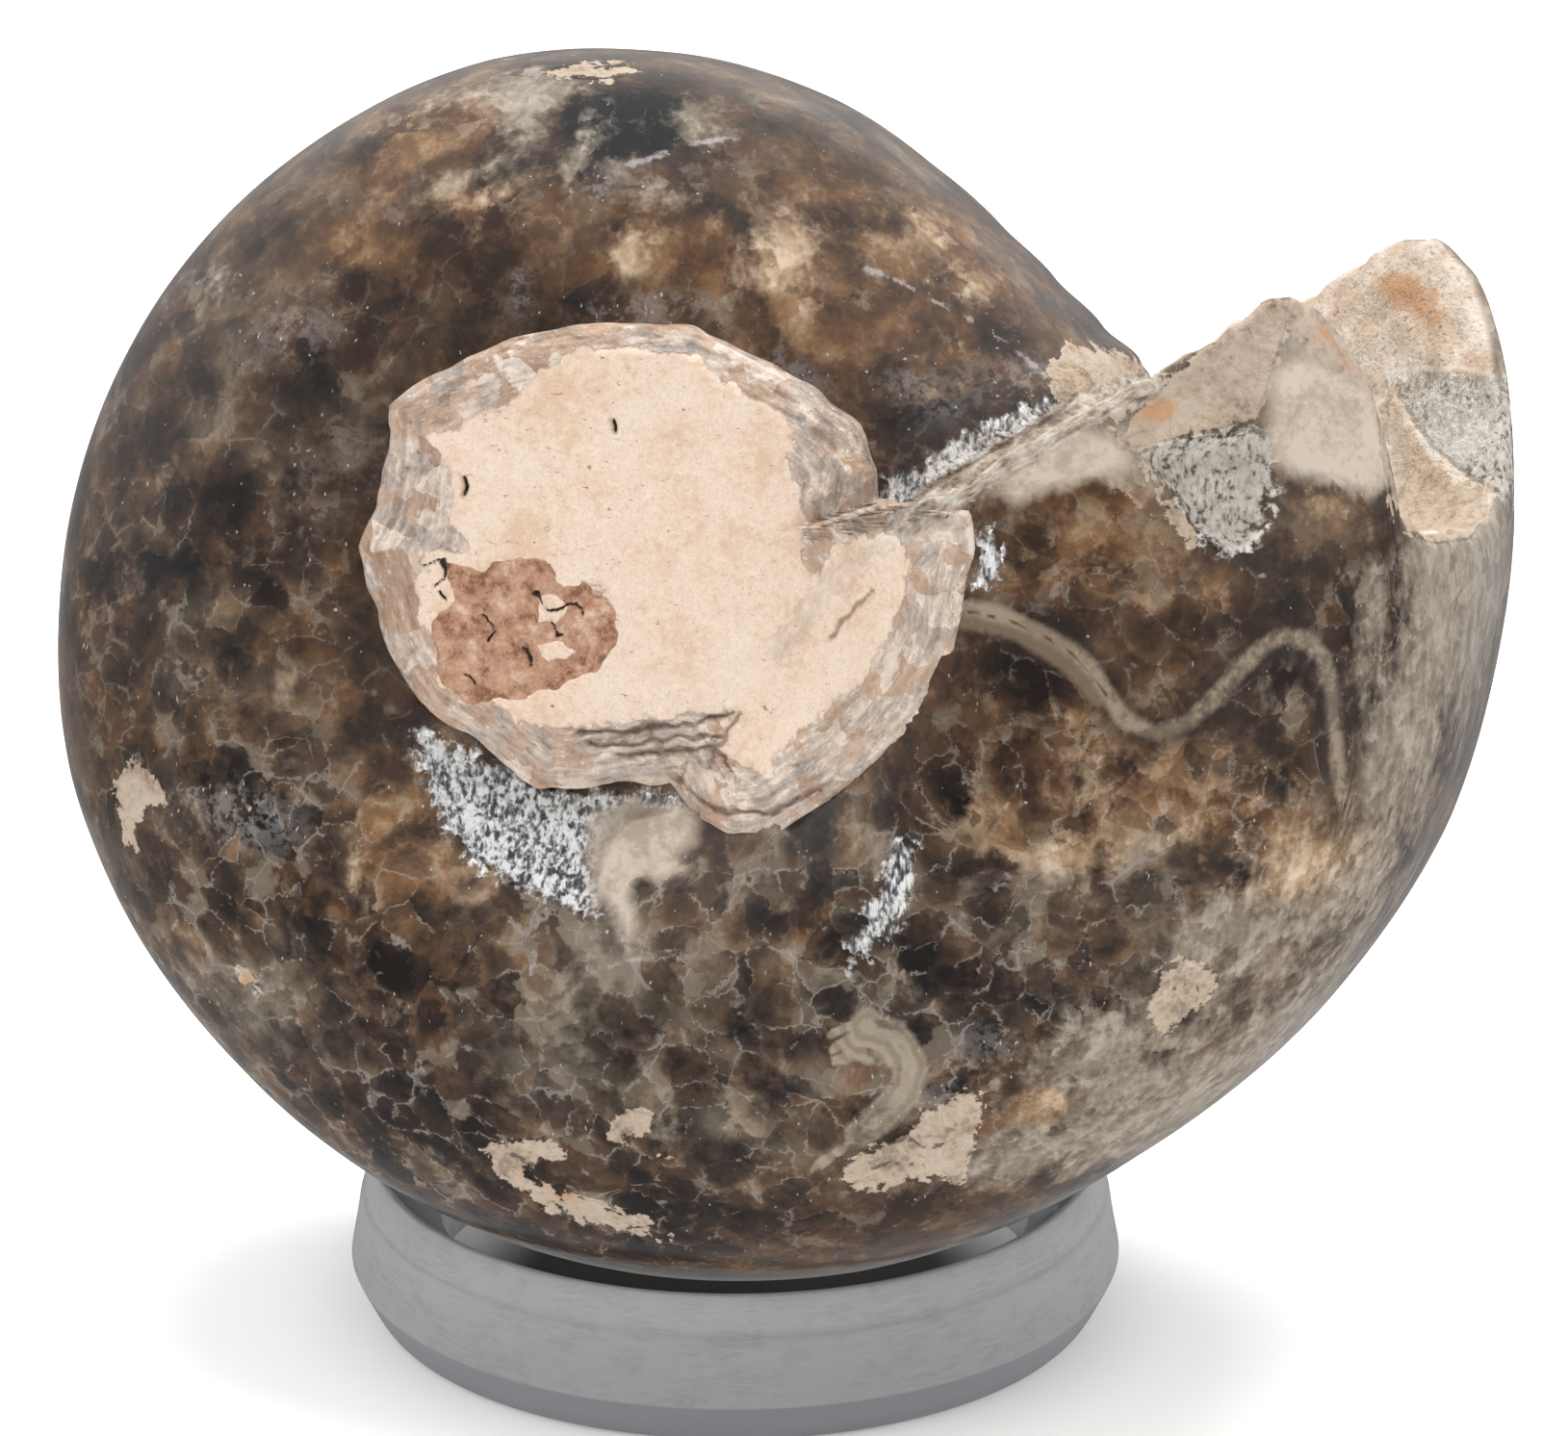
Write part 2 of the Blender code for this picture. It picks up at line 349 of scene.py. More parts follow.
yaw, rise = math.radians(coil["yaw"]), math.radians(coil["rise"])
axis = np.array([-math.sin(yaw) * math.cos(rise), -math.cos(yaw) * math.cos(rise), math.sin(rise)])
across = np.cross([0, 0, 1], axis)
across /= np.linalg.norm(across)
upward = np.cross(axis, across)
centre = np.array(coil["ringCentre"]) + np.array(coil["fromRing"])
turn = 2 * math.pi


def ease(x):
    x = np.clip(x, 0, 1)
    return x * x * (3 - 2 * x)


# eased line through (x, value) knots
def between(knots, x):
    xs, ys = np.array(knots, float).T
    x = np.clip(x, xs[0], xs[-1])
    i = np.clip(np.searchsorted(xs, x, side="right") - 1, 0, len(xs) - 2)
    t = (x - xs[i]) / (xs[i + 1] - xs[i])
    return ys[i] + (ys[i + 1] - ys[i]) * (0.5 * t + 0.5 * ease(t))


def inCoil(angle, radius, height):
    outward = np.cos(angle)[..., None] * across + np.sin(angle)[..., None] * upward
    return centre + outward * radius[..., None] + height[..., None] * axis


def keelRadius(angle):
    even = coil["lipRadius"] * coil["growth"] ** ((angle - math.radians(coil["seam"])) / turn - 1)
    return even + between(coil["keelTrim"], np.degrees(angle))


def flankHeight(angle, radius):
    keel = keelRadius(angle)
    share = np.minimum(1, radius / keel)
    height = coil["widthRatio"] * keel * (1 - share ** coil["radialPower"]) ** (1 / coil["widthPower"])
    slide = ease((radius - coil["floorRadius"]) / coil["floorReach"])
    return coil["floorHeight"] + (height - coil["floorHeight"]) * slide


# radius and height on the whorl; place runs from 0 at the keel to 90 at the floor's edge
def onWhorl(angle, place):
    keel = keelRadius(angle)
    swing = np.maximum(0, np.cos(np.radians(np.abs(place))))
    radius = coil["floorRadius"] + (keel - coil["floorRadius"]) * swing ** (2 / coil["radialPower"])
    height = np.sign(place) * flankHeight(angle, radius)
    return radius, height


# places from the keel to the floor's edge, evenly spaced along the section
def evenPlaces(count):
    fine = 90 * np.linspace(0, 1, 4001) ** 1.5
    radius, height = onWhorl(np.full(fine.shape, 5.0), fine)
    run = np.concatenate([[0], np.cumsum(np.hypot(np.diff(radius), np.diff(height)))])
    return np.interp(np.linspace(0, run[-1], count + 1), run, fine)


# rows once round the coil and back down the end face; columns from far side to near side
def shellGrid():
    place = np.concatenate([-evenPlaces(coil["farColumns"])[::-1], evenPlaces(coil["nearColumns"])[1:]])
    lip = np.full(place.shape, math.radians(coil["lipStart"]) + turn)
    for _ in range(coil["lipRounds"]):
        radius, height = onWhorl(lip, place)
        slope = np.degrees(np.arctan2(np.abs(height), radius))
        lip = np.radians(np.where(place > 0, between(coil["nearLip"], slope),
                                  between(coil["farLip"], slope))) + turn
    foot = np.radians(between(coil["foot"], slope))
    rows = np.arange(coil["turnRows"] + coil["faceRows"])[:, None]
    part = np.clip((rows - coil["turnRows"]) / coil["faceRows"], 0, 1)
    angle = foot + (lip - foot) * np.minimum(1, rows / coil["turnRows"])
    radius, height = onWhorl(angle, np.broadcast_to(place, angle.shape))
    innerRadius, innerHeight = onWhorl(foot, place)
    radius = radius + (innerRadius - radius) * part
    height = height + (innerHeight - height) * part
    dip = math.radians(coil["faceHollow"]) * np.sin(math.pi * part) ** 2
    angle = angle + (foot + turn - lip) * ease(1.2 * part) - dip * radius / coil["lipRadius"]
    return angle, radius, height


# outward normals of a grid that is closed along its rows
def gridNormals(points):
    alongRow = np.roll(points, -1, 0) - np.roll(points, 1, 0)
    alongColumn = np.gradient(points, axis=1)
    normal = np.cross(alongRow, alongColumn)
    size = np.linalg.norm(normal, axis=-1, keepdims=True)
    return normal / np.maximum(size, 1e-9)


# distance in pixels from an outline's edge, positive inside it
def insideOutline(points, outline):
    corners = np.array(outline, float)
    nearest = np.full(len(points), 1e9)
    inside = np.zeros(len(points), bool)
    for a, b in zip(corners, np.roll(corners, -1, 0)):
        nearest = np.minimum(nearest, fromSegment(points, a, b))
        crosses = (a[1] > points[:, 1]) != (b[1] > points[:, 1])
        rise = b[1] - a[1] if b[1] != a[1] else 1e-9
        inside ^= crosses & (points[:, 0] < (b[0] - a[0]) * (points[:, 1] - a[1]) / rise + a[0])
    return np.where(inside, nearest, -nearest)


def fromSegment(points, a, b):
    along = b - a
    t = np.clip(((points - a) @ along) / max(along @ along, 1e-9), 0, 1)
    return np.linalg.norm(points - a - t[:, None] * along, axis=1)


def fromLine(points, line):
    corners = np.array(line, float)
    return np.min([fromSegment(points, a, b) for a, b in zip(corners, corners[1:])], axis=0)


# sum of soft spots, each x, y, half width, half height, turn in degrees and strength
def clouds(points, spots):
    cloud = np.zeros(len(points))
    for x, y, wide, high, tilt, strength in spots:
        c, s = math.cos(math.radians(tilt)), math.sin(math.radians(tilt))
        dx, dy = points[:, 0] - x, points[:, 1] - y
        cloud += strength * np.exp(-((dx * c + dy * s) / wide) ** 2 - ((dy * c - dx * s) / high) ** 2)
    return cloud


# marks on the stone, in pixels of the camera's frame: outlines of areas, lines, and the soft spots
# that clouds adds up
nearMarks = dict(
    matrix=[
        [(495, 1195), (525, 1182), (565, 1185), (598, 1200), (560, 1207), (545, 1220), (580, 1238),
         (625, 1250), (665, 1265), (700, 1291), (660, 1286), (615, 1275), (565, 1255), (530, 1236),
         (508, 1212)],
        [(630, 1180), (650, 1152), (680, 1158), (685, 1168), (650, 1188)],
        [(682, 1203), (696, 1200), (702, 1208), (690, 1212)],
        [(115, 815), (140, 790), (160, 805), (176, 825), (168, 840), (152, 838), (143, 855), (145, 887),
         (128, 880), (120, 840)],
        [(862, 1226), (900, 1195), (935, 1180), (960, 1155), (1000, 1134), (1026, 1140), (1020, 1178),
         (1005, 1210), (1000, 1232), (940, 1230), (915, 1241), (885, 1236)],
        [(1188, 1056), (1205, 1010), (1230, 993), (1272, 1015), (1255, 1045), (1232, 1065), (1208, 1077)],
        [(556, 70), (600, 60), (650, 62), (664, 72), (637, 82), (575, 80)],
        [(1088, 376), (1110, 352), (1150, 356), (1186, 372), (1222, 392), (1182, 420), (1162, 446),
         (1120, 428), (1096, 404)],
        [(244, 1004), (258, 1004), (274, 1034), (262, 1038)],
        [(1160, 466), (1176, 430), (1216, 386), (1262, 348), (1300, 318), (1330, 306), (1342, 330),
         (1330, 372), (1318, 410), (1308, 436), (1262, 448), (1228, 456), (1190, 466)],
        [(1436, 396), (1455, 425), (1482, 468), (1515, 497), (1542, 492), (1550, 530), (1530, 560),
         (1490, 566), (1452, 548), (1440, 500), (1430, 440)],
        [(1184, 478), (1192, 476), (1222, 522), (1252, 572), (1242, 578), (1216, 536)],
    ],
    crust=[
        [(1232, 392), (1262, 350), (1300, 320), (1335, 308), (1342, 335), (1330, 372), (1318, 410),
         (1308, 436), (1272, 446), (1256, 428), (1244, 408)],
        [(1296, 322), (1345, 303), (1382, 318), (1422, 365), (1430, 396), (1400, 392), (1372, 384),
         (1352, 356), (1330, 340)],
        [(1426, 372), (1436, 400), (1448, 440), (1460, 500), (1452, 522), (1444, 500), (1436, 450),
         (1422, 400)],
    ],
    milk=[
        [(1322, 388), (1350, 368), (1398, 392), (1430, 402), (1442, 450), (1450, 500), (1420, 512),
         (1380, 500), (1342, 494), (1324, 466)],
        [(1040, 500), (1075, 470), (1130, 448), (1165, 462), (1176, 486), (1130, 496), (1080, 512),
         (1050, 520)],
        [(610, 842), (660, 834), (708, 838), (722, 852), (716, 876), (698, 888), (706, 902), (684, 914),
         (662, 908), (652, 926), (660, 958), (652, 982), (640, 950), (628, 930), (616, 942), (612, 900)],
    ],
    sugar=[
        [(436, 762), (470, 778), (520, 800), (575, 818), (640, 822), (700, 830), (702, 842), (655, 852),
         (628, 880), (622, 945), (600, 950), (570, 935), (530, 918), (495, 895), (466, 858),
         (450, 815), (440, 790)],
        [(936, 876), (950, 880), (945, 930), (925, 965), (905, 985), (885, 1012), (876, 1010),
         (895, 965), (910, 920)],
        [(1182, 470), (1215, 462), (1262, 452), (1304, 440), (1322, 456), (1328, 500), (1318, 540),
         (1296, 568), (1262, 572), (1238, 540), (1210, 500)],
        [(880, 530), (925, 500), (1000, 455), (1070, 420), (1110, 395), (1125, 405), (1100, 430),
         (1040, 464), (980, 500), (930, 535), (895, 556)],
        [(1440, 395), (1470, 378), (1530, 380), (1568, 395), (1578, 470), (1580, 530), (1545, 505),
         (1520, 490), (1485, 462), (1458, 425)],
        [(1014, 566), (1028, 554), (1038, 584), (1034, 608), (1016, 606)],
    ],
    suture=[
        [(1000, 640), (1030, 643), (1062, 655), (1095, 674), (1124, 696), (1142, 720)],
    ],
    sutureThin=[
        [(1000, 632), (1040, 640), (1085, 658), (1118, 678), (1140, 702), (1156, 730), (1170, 750),
         (1200, 762), (1230, 754), (1262, 728), (1290, 694), (1312, 672), (1336, 661), (1358, 666),
         (1376, 684), (1384, 716), (1388, 760), (1393, 810), (1402, 846)],
    ],
    sutureCore=[[(1004, 636), (1036, 642), (1066, 652), (1096, 668), (1122, 686), (1140, 706),
                 (1150, 724)]],
    cracks=[
        [(1158, 454), (1168, 446), (1178, 434)],
        [(1178, 468), (1196, 464), (1214, 466), (1236, 456), (1252, 454), (1264, 446)],
        [(1470, 460), (1486, 478)],
        [(920, 1190), (945, 1184), (958, 1196), (985, 1190)],
        [(900, 1216), (930, 1210), (962, 1214)],
        [(968, 1140), (975, 1165), (992, 1172)],
        [(530, 1200), (560, 1216), (600, 1240), (640, 1250)],
        [(1216, 1030), (1240, 1024), (1252, 1036)],
    ],
    veins=[
        [(898, 278), (935, 292), (970, 312), (1005, 330), (1040, 352), (1075, 378), (1102, 402)],
        [(598, 1006), (640, 1002), (668, 994), (705, 986)],
        [(628, 935), (640, 962), (655, 992)],
        [(835, 890), (862, 898), (892, 915)],
        [(560, 955), (556, 985), (550, 1012)],
        [(1290, 592), (1345, 604), (1380, 600)],
        [(650, 172), (690, 158), (725, 147), (768, 141)],
        [(1205, 770), (1216, 790), (1240, 800)],
        [(1040, 842), (1062, 812), (1080, 796)],
        [(462, 1075), (490, 1092), (512, 1122), (520, 1150)],
    ],
    seam=[[(1190, 400), (1150, 416), (1110, 434), (1040, 478), (985, 512), (930, 550), (880, 590),
           (848, 614)]],
    arc=[[(900, 1066), (930, 1076), (945, 1104), (940, 1134), (918, 1160), (894, 1180)]],
    arcThin=[
        [(862, 1076), (892, 1064), (920, 1072)],
        [(864, 1090), (892, 1082), (916, 1090), (926, 1108)],
        [(868, 1102), (888, 1096), (906, 1104)],
        [(905, 1172), (882, 1190), (856, 1208), (846, 1216)],
    ],
    pale=[
        (470, 190, 60, 12, -25, 0.9), (600, 160, 14, 50, 20, 0.8), (560, 95, 60, 14, -5, 0.8),
        (330, 300, 30, 14, -30, 0.6),
        (1000, 300, 40, 16, 25, 0.5), (700, 205, 60, 14, 10, 0.5),
        (1130, 1120, 85, 55, -20, 0.8), (1250, 1135, 120, 40, -32, 0.9), (1360, 1060, 90, 40, -48, 0.9),
        (1260, 990, 60, 60, -30, 0.7), (1340, 930, 55, 70, 20, 0.7), (1420, 900, 50, 80, 20, 0.7),
        (1110, 895, 42, 20, -8, 1.1), (1080, 1200, 120, 26, -12, 0.9), (1180, 1070, 60, 40, 0, 0.4),
        (1480, 720, 26, 120, 4, 0.9), (1535, 620, 22, 150, 4, 0.9), (1440, 780, 34, 80, 4, 0.9),
        (1425, 640, 20, 70, 4, 0.7), (1330, 700, 30, 30, 0, 0.3), (1500, 600, 14, 90, 4, 0.5),
        (1200, 850, 120, 40, 0, 0.35), (1130, 780, 60, 30, 0, 0.3),
        (808, 268, 40, 44, 20, 1.15), (655, 268, 26, 30, 0, 1.0), (548, 110, 30, 60, 10, 0.8),
        (470, 100, 60, 16, -20, 0.6), (520, 195, 50, 16, -15, 0.5), (960, 235, 40, 16, 25, 0.6),
        (225, 292, 26, 26, 0, 0.6), (1375, 410, 52, 64, 10, 1.6), (1310, 345, 60, 30, -35, 0.7),
        (300, 705, 14, 24, 20, 0.9), (370, 905, 12, 44, -10, 0.7),
        (600, 1050, 60, 10, 10, 0.3), (1090, 480, 90, 26, -16, 0.8), (680, 1165, 60, 22, 5, 0.4),
        (720, 118, 26, 16, 0, 0.8), (1180, 500, 50, 22, 20, 0.6), (915, 890, 14, 18, 0, 0.7),
        (1170, 470, 60, 26, 10, 0.7), (1375, 520, 60, 22, 0, 0.4), (1250, 970, 90, 20, -30, 0.4),
        (640, 175, 22, 12, 0, 0.5), (745, 140, 30, 10, -10, 0.6),
    ],
    amber=[
        (1180, 820, 170, 70, 0, 0.7), (1300, 860, 80, 50, 0, 0.5), (1130, 560, 60, 40, 0, 0.5),
        (440, 140, 70, 32, -20, 0.8), (480, 230, 110, 40, -15, 0.6), (700, 255, 90, 45, 0, 0.7),
        (860, 330, 80, 60, 20, 0.8), (960, 370, 90, 40, 25, 0.6), (1090, 820, 130, 70, 10, 0.9),
        (1130, 560, 90, 50, -10, 0.7), (460, 900, 100, 60, 10, 0.5), (380, 250, 60, 40, -20, 0.4),
        (1180, 600, 90, 60, 0, 0.35), (640, 1000, 120, 50, 0, 0.35), (300, 700, 60, 60, 0, 0.3),
        (1270, 1130, 60, 30, -30, 0.15), (1080, 1150, 30, 18, 0, 0.9), (1010, 260, 80, 50, 30, 0.5),
        (1340, 880, 70, 60, 0, 0.5), (880, 230, 80, 40, 20, 0.6), (1380, 520, 50, 30, 0, 0.5),
        (1230, 640, 60, 60, 0, 0.3), (1140, 760, 60, 30, 0, 0.4), (400, 870, 50, 60, 0, 0.7),
        (560, 540, 40, 40, 0, 0.2), (150, 700, 60, 80, 0, 0.2),
    ],
    # dark calcite; the spots in the valley by the plug's upper right edge are painted shade
    dark=[
        (650, 128, 66, 38, 0, 2.2), (612, 118, 30, 26, 0, 0.8), (690, 118, 30, 26, 0, 0.8),
        (240, 470, 130, 150, 0, 0.5), (975, 430, 90, 45, -20, 1.1),
        (400, 330, 110, 50, -30, 0.6), (560, 305, 60, 26, 0, 0.6), (1200, 815, 110, 40, -10, 0.5),
        (310, 830, 60, 30, 0, 0.6), (1060, 700, 60, 30, 0, 0.8), (720, 1130, 120, 60, 0, 0.2),
        (960, 990, 110, 60, 0, 0.4), (1320, 725, 30, 30, 0, 0.9), (450, 1130, 110, 70, 0, 0.4),
        (120, 560, 60, 160, 0, 0.3), (1340, 810, 30, 30, 0, 0.6), (1250, 670, 30, 50, 0, 0.5),
        (380, 160, 34, 18, -30, 0.9), (640, 1280, 200, 40, 8, 0.5), (1040, 640, 30, 20, 0, 0.4),
        (330, 780, 80, 30, 10, 0.5), (930, 1020, 60, 40, 0, 0.4), (1300, 905, 18, 34, 0, 1.4),
        (420, 740, 30, 60, 0, 0.5), (200, 600, 60, 60, 0, 0.3), (1060, 600, 40, 30, 0, 0.3),
        (760, 1040, 50, 40, 0, 0.4), (860, 1060, 40, 30, 0, 0.4),
    ],
    cellular=[
        (620, 1060, 330, 170, 0, 1.0), (330, 960, 220, 180, 0, 0.8), (900, 980, 300, 200, 0, 0.8),
        (1250, 880, 220, 180, 0, 0.5), (200, 600, 160, 260, 0, 0.5), (1180, 600, 160, 100, 0, 0.4),
        (1450, 650, 120, 160, 0, 0.4), (560, 1250, 200, 60, 0, 0.9),
    ],
    # frosted, rubbed stone, and painted sheen: the grey reflection on the polish above the plug and in the
    # valley beside it
    frostAndSheen=[
        (250, 850, 80, 40, 15, 1.0), (440, 800, 30, 60, 0, 0.6), (670, 322, 90, 22, -4, 1.0),
        (300, 345, 60, 40, 0, 0.7), (540, 300, 16, 40, 0, 0.7), (950, 400, 90, 40, 30, 0.6),
        (380, 480, 60, 80, 0, 0.4), (1030, 1085, 60, 26, 20, 0.7), (820, 385, 50, 20, 30, 0.9),
        (980, 1140, 60, 30, 0, 0.6), (620, 190, 30, 24, 0, 0.8), (1060, 390, 50, 30, 0, 0.8),
        (1350, 690, 40, 20, 0, 0.4), (1000, 640, 20, 30, 0, 0.4), (720, 960, 90, 30, 0, 0.3),
        (300, 520, 60, 90, 0, 0.35),
    ],
    warmth=[(1262, 505, 90, 80, 0, 1.3), (1500, 450, 110, 90, 0, 1.8), (1030, 470, 110, 40, -30, 0.4)],
    rust=[
        (1500, 525, 50, 34, 0, 0.3), (1455, 300, 34, 22, 10, 1.2), (1490, 335, 26, 18, 0, 0.9),
        (1400, 378, 10, 8, 0, 0.9),
        (1380, 345, 14, 8, 0, 0.8), (1440, 345, 20, 12, 0, 0.6), (1150, 420, 40, 20, 0, 0.5),
        (1208, 428, 30, 16, -20, 0.7), (545, 1215, 30, 20, 0, 0.6), (590, 1245, 30, 12, 20, 0.6),
        (140, 880, 20, 20, 0, 0.6), (255, 1020, 10, 14, 0, 0.9), (950, 1200, 40, 16, 0, 0.3),
    ],
)

# the far side is seen mirrored through the plane of the coil, in the same pixels
farMarks = dict(
    matrix=[
        [(300, 980), (360, 930), (430, 945), (470, 1000), (420, 1050), (350, 1040)],
        [(980, 960), (1060, 930), (1100, 980), (1060, 1040), (1000, 1030)],
        [(640, 180), (720, 150), (800, 175), (770, 215), (690, 225)],
        [(1270, 700), (1310, 680), (1340, 720), (1320, 780), (1285, 760)],
        [(170, 560), (205, 520), (225, 580), (200, 640), (175, 610)],
        [(1088, 376), (1150, 356), (1222, 392), (1162, 446), (1096, 404)],
    ],
    crust=[[(1360, 260), (1440, 225), (1520, 235), (1560, 320), (1570, 420), (1545, 420), (1520, 330),
            (1470, 290), (1400, 300)]],
    milk=[[(1330, 388), (1400, 392), (1442, 450), (1380, 500), (1324, 466)]],
    sugar=[
        [(820, 830), (880, 815), (930, 860), (920, 920), (870, 930), (830, 890)],
        [(420, 300), (470, 280), (500, 320), (460, 350)],
    ],
    suture=nearMarks["suture"],
    sutureThin=nearMarks["sutureThin"],
    sutureCore=nearMarks["sutureCore"],
    cracks=[[(330, 960), (380, 985), (430, 980)], [(1000, 980), (1050, 990), (1080, 970)]],
    veins=[
        [(400, 860), (460, 900), (540, 920), (600, 960)],
        [(900, 250), (960, 300), (1000, 360)],
        [(1150, 880), (1200, 920), (1260, 930)],
    ],
    seam=[],
    arc=[[(700, 1060), (735, 1075), (755, 1105), (745, 1140), (715, 1165)]],
    arcThin=[],
    pale=[
        (1200, 1080, 110, 60, -30, 1.0), (1330, 960, 70, 80, 0, 0.8), (500, 1080, 90, 50, 10, 0.7),
        (800, 270, 60, 40, 20, 0.9), (330, 420, 60, 50, 0, 0.6), (1090, 620, 60, 40, 0, 0.5),
        (1380, 400, 60, 70, 0, 1.0), (240, 780, 40, 60, 0, 0.6),
    ],
    amber=[
        (450, 220, 120, 60, 0, 0.6), (880, 330, 100, 70, 0, 0.6), (1100, 840, 150, 80, 0, 0.7),
        (400, 900, 120, 80, 0, 0.5), (700, 1000, 140, 60, 0, 0.5),
    ],
    dark=[
        (620, 150, 70, 40, 0, 0.9), (240, 500, 120, 140, 0, 0.5), (960, 430, 90, 50, 0, 0.6),
        (1180, 780, 110, 60, 0, 0.5),
    ],
    cellular=[(620, 1060, 330, 170, 0, 1.0), (330, 960, 220, 180, 0, 0.8), (1100, 900, 350, 250, 0, 0.9)],
    frostAndSheen=[(300, 850, 90, 40, 0, 0.9), (900, 400, 80, 40, 0, 0.6), (1040, 1085, 80, 30, 0, 0.7)],
    warmth=[(1262, 505, 90, 80, 0, 1.3), (1500, 450, 110, 90, 0, 1.8)],
    rust=[(380, 980, 40, 30, 0, 0.6), (1040, 990, 40, 30, 0, 0.6), (1470, 260, 60, 30, 0, 0.6)],
)
areaMarks = ("matrix", "crust", "milk", "sugar")
lineMarks = ("suture", "sutureThin", "sutureCore", "cracks", "veins", "seam", "arc", "arcThin")
cloudMarks = ("pale", "amber", "dark", "cellular", "frostAndSheen", "warmth", "rust")
markReach = 20.0  # pixels over which a mark's edge or line fades by 1


# every mark at every point: how deep inside an area, how near a line, how strong a cloud
def layMarks(points, marks):
    laid = {}
    for name in areaMarks:
        depth = np.max([insideOutline(points, o) for o in marks[name]], axis=0)
        laid[name] = np.clip(depth / markReach, -1.5, 1.5)
    for name in lineMarks:
        lines = [fromLine(points, line) for line in marks[name]] or [np.full(len(points), 1e3)]
        laid[name] = np.clip(1 - np.min(lines, axis=0) / markReach, -1.5, 1)
    for name in cloudMarks:
        laid[name] = np.clip(clouds(points, marks[name]), 0, 1.8)
    return laid


def setMarks(mesh, values):
    for name, value in values.items():
        layer = mesh.attributes.new(name, "FLOAT", "POINT")
        layer.data.foreach_set("value", np.asarray(value, np.float32))


# fractal noise of a given size in mm at each point, from about -1 to 1
def ripple(points, size, octaves=3, seed=0.0):
    shift = Vector((seed, seed * 0.37, -seed * 0.71))
    return np.array([noise.fractal(Vector(p) / size + shift, 1.0, 2.0, octaves) for p in points])


# like ripple, but only where chosen is true
def rough(points, chosen, size, octaves=3, seed=0.0):
    out = np.zeros(len(points))
    where = np.nonzero(chosen)[0]
    out[where] = ripple(points[where], size, octaves, seed)
    return out


relief = dict(
    # the worn lip: rows before and after, smoothing rounds, share of each round
    wornRows=(4, 7),
    wornRounds=9,
    wornShare=0.55,
    nearFade=(0.12, 0.2),  # where near marks give way to far ones, by how the skin faces the camera
    faceFade=(0.004, 0.05, 0.02),
    # paler towards the lip: rows before it, rows of fade, share on the flank, more on the keel
    lipPale=(16, 14, 0.35, 0.5),
    keelReach=14.0,
    inset=0.07,  # keeps the polished skin inside the box
    skin=0.04,
    # how deep each kind of stone lies, how lumpy it is and, for some, how gritty
    matrix=(0.08, 0.10),
    sugar=(0.22, 0.16, 0.14),
    scoop=(1.0, 0.25),
    facet=(0.5, 0.25),
    face=(0.1, 0.45, 0.14),
    seam=(-0.1, 0.12, 0.08),
    suture=0.05,
    # size, octaves and seed of each noise
    lump=(1.3, 4, 3.1),
    grit=(0.55, 2, 9.7),
    wide=(13.0, 4, 5.3),
    patchy=(3.4, 3, 8.1),
    wanderSize=3.4,
    # a face with a mark above these has the fuller material
    fullFrom=dict(face=0.02, matrix=-0.95, sugar=-0.95, crust=-0.95, milk=-0.95, seam=-0.4),
    # the hollow in the near horn and the facet above it, in pixels of the camera's frame, and
    # how far outside their outlines they start and over how many pixels they deepen
    hollowFade=(4, 26),
    facetFade=(8, 40),
    hollowOutline=[(1178, 470), (1262, 452), (1306, 438), (1328, 460), (1330, 500), (1318, 545),
                   (1290, 574), (1240, 560), (1205, 505)],
    facetOutline=[(1150, 470), (1200, 395), (1262, 345), (1320, 305), (1346, 330), (1320, 430),
                  (1262, 450), (1190, 468)],
)


# near marks where the camera sees the skin, far marks on the mirrored far side
def shellMarks(flat, direction, row):
    side = (flat - centre) @ axis
    mirrored = flat - 2 * side[:, None] * axis
    near = layMarks(inFrame(flat), nearMarks)
    far = layMarks(inFrame(mirrored), farMarks)
    start, fade = relief["nearFade"]
    onNear = ease((start - direction @ viewForward) / fade)
    marks = {name: near[name] * onNear + far[name] * (1 - onNear) for name in near}
    face = np.clip((row - coil["turnRows"]) / coil["faceRows"], 0, 1)
    start, fade, fadeOut = relief["faceFade"]
    marks["face"] = ease((face - start) / fade) * ease((1 - face) / fadeOut)
    before, fade, onFlank, more = relief["lipPale"]
    toLip = ease((row - coil["turnRows"] + before) / fade) * (row <= coil["turnRows"])
    onKeel = ease(1.6 - np.abs(side) / relief["keelReach"])
    marks["pale"] = np.clip(marks["pale"] + toLip * (onFlank + more * onKeel), 0, 1.8)
    return marks, onNear


# how far the skin is sunk, in mm; the wide and patchy noises stay as marks for the material
def shellDepth(flat, marks, onNear):
    at, seen = inFrame(flat), onNear > 0.5

    def cut(outline, fade):
        return ease((insideOutline(at, outline) + fade[0]) / fade[1]) * seen

    shares = dict(
        matrix=ease((marks["matrix"] + 0.1) / 0.5),
        sugar=ease((marks["sugar"] + 0.1) / 0.5),
        scoop=cut(relief["hollowOutline"], relief["hollowFade"]),
        facet=cut(relief["facetOutline"], relief["facetFade"]),
        face=marks["face"],
        seam=ease((marks["seam"] - 0.1) / 0.6) * (1 - marks["face"]),
    )
    isFace = marks["face"] > relief["fullFrom"]["face"]
    gritty = isFace | (shares["sugar"] > 0) | (shares["seam"] > 0)
    lumpy = gritty | (shares["matrix"] > 0) | (shares["scoop"] > 0) | (shares["facet"] > 0)
    lump = rough(flat, lumpy, *relief["lump"])
    grit = rough(flat, gritty, *relief["grit"])
    wide, patchy = ripple(flat, *relief["wide"]), ripple(flat, *relief["patchy"])
    depth = relief["inset"] + relief["skin"] * (1 + wide)
    for name, share in shares.items():
        depth += share * sum(a * b for a, b in zip(relief[name], (1.0, lump, grit)))
    depth += relief["suture"] * ease((marks["sutureThin"] - 0.4) / 0.6)
    marks.update(wide=0.5 + 0.5 * wide, patchy=0.5 + 0.5 * patchy)
    return np.maximum(depth, relief["inset"])


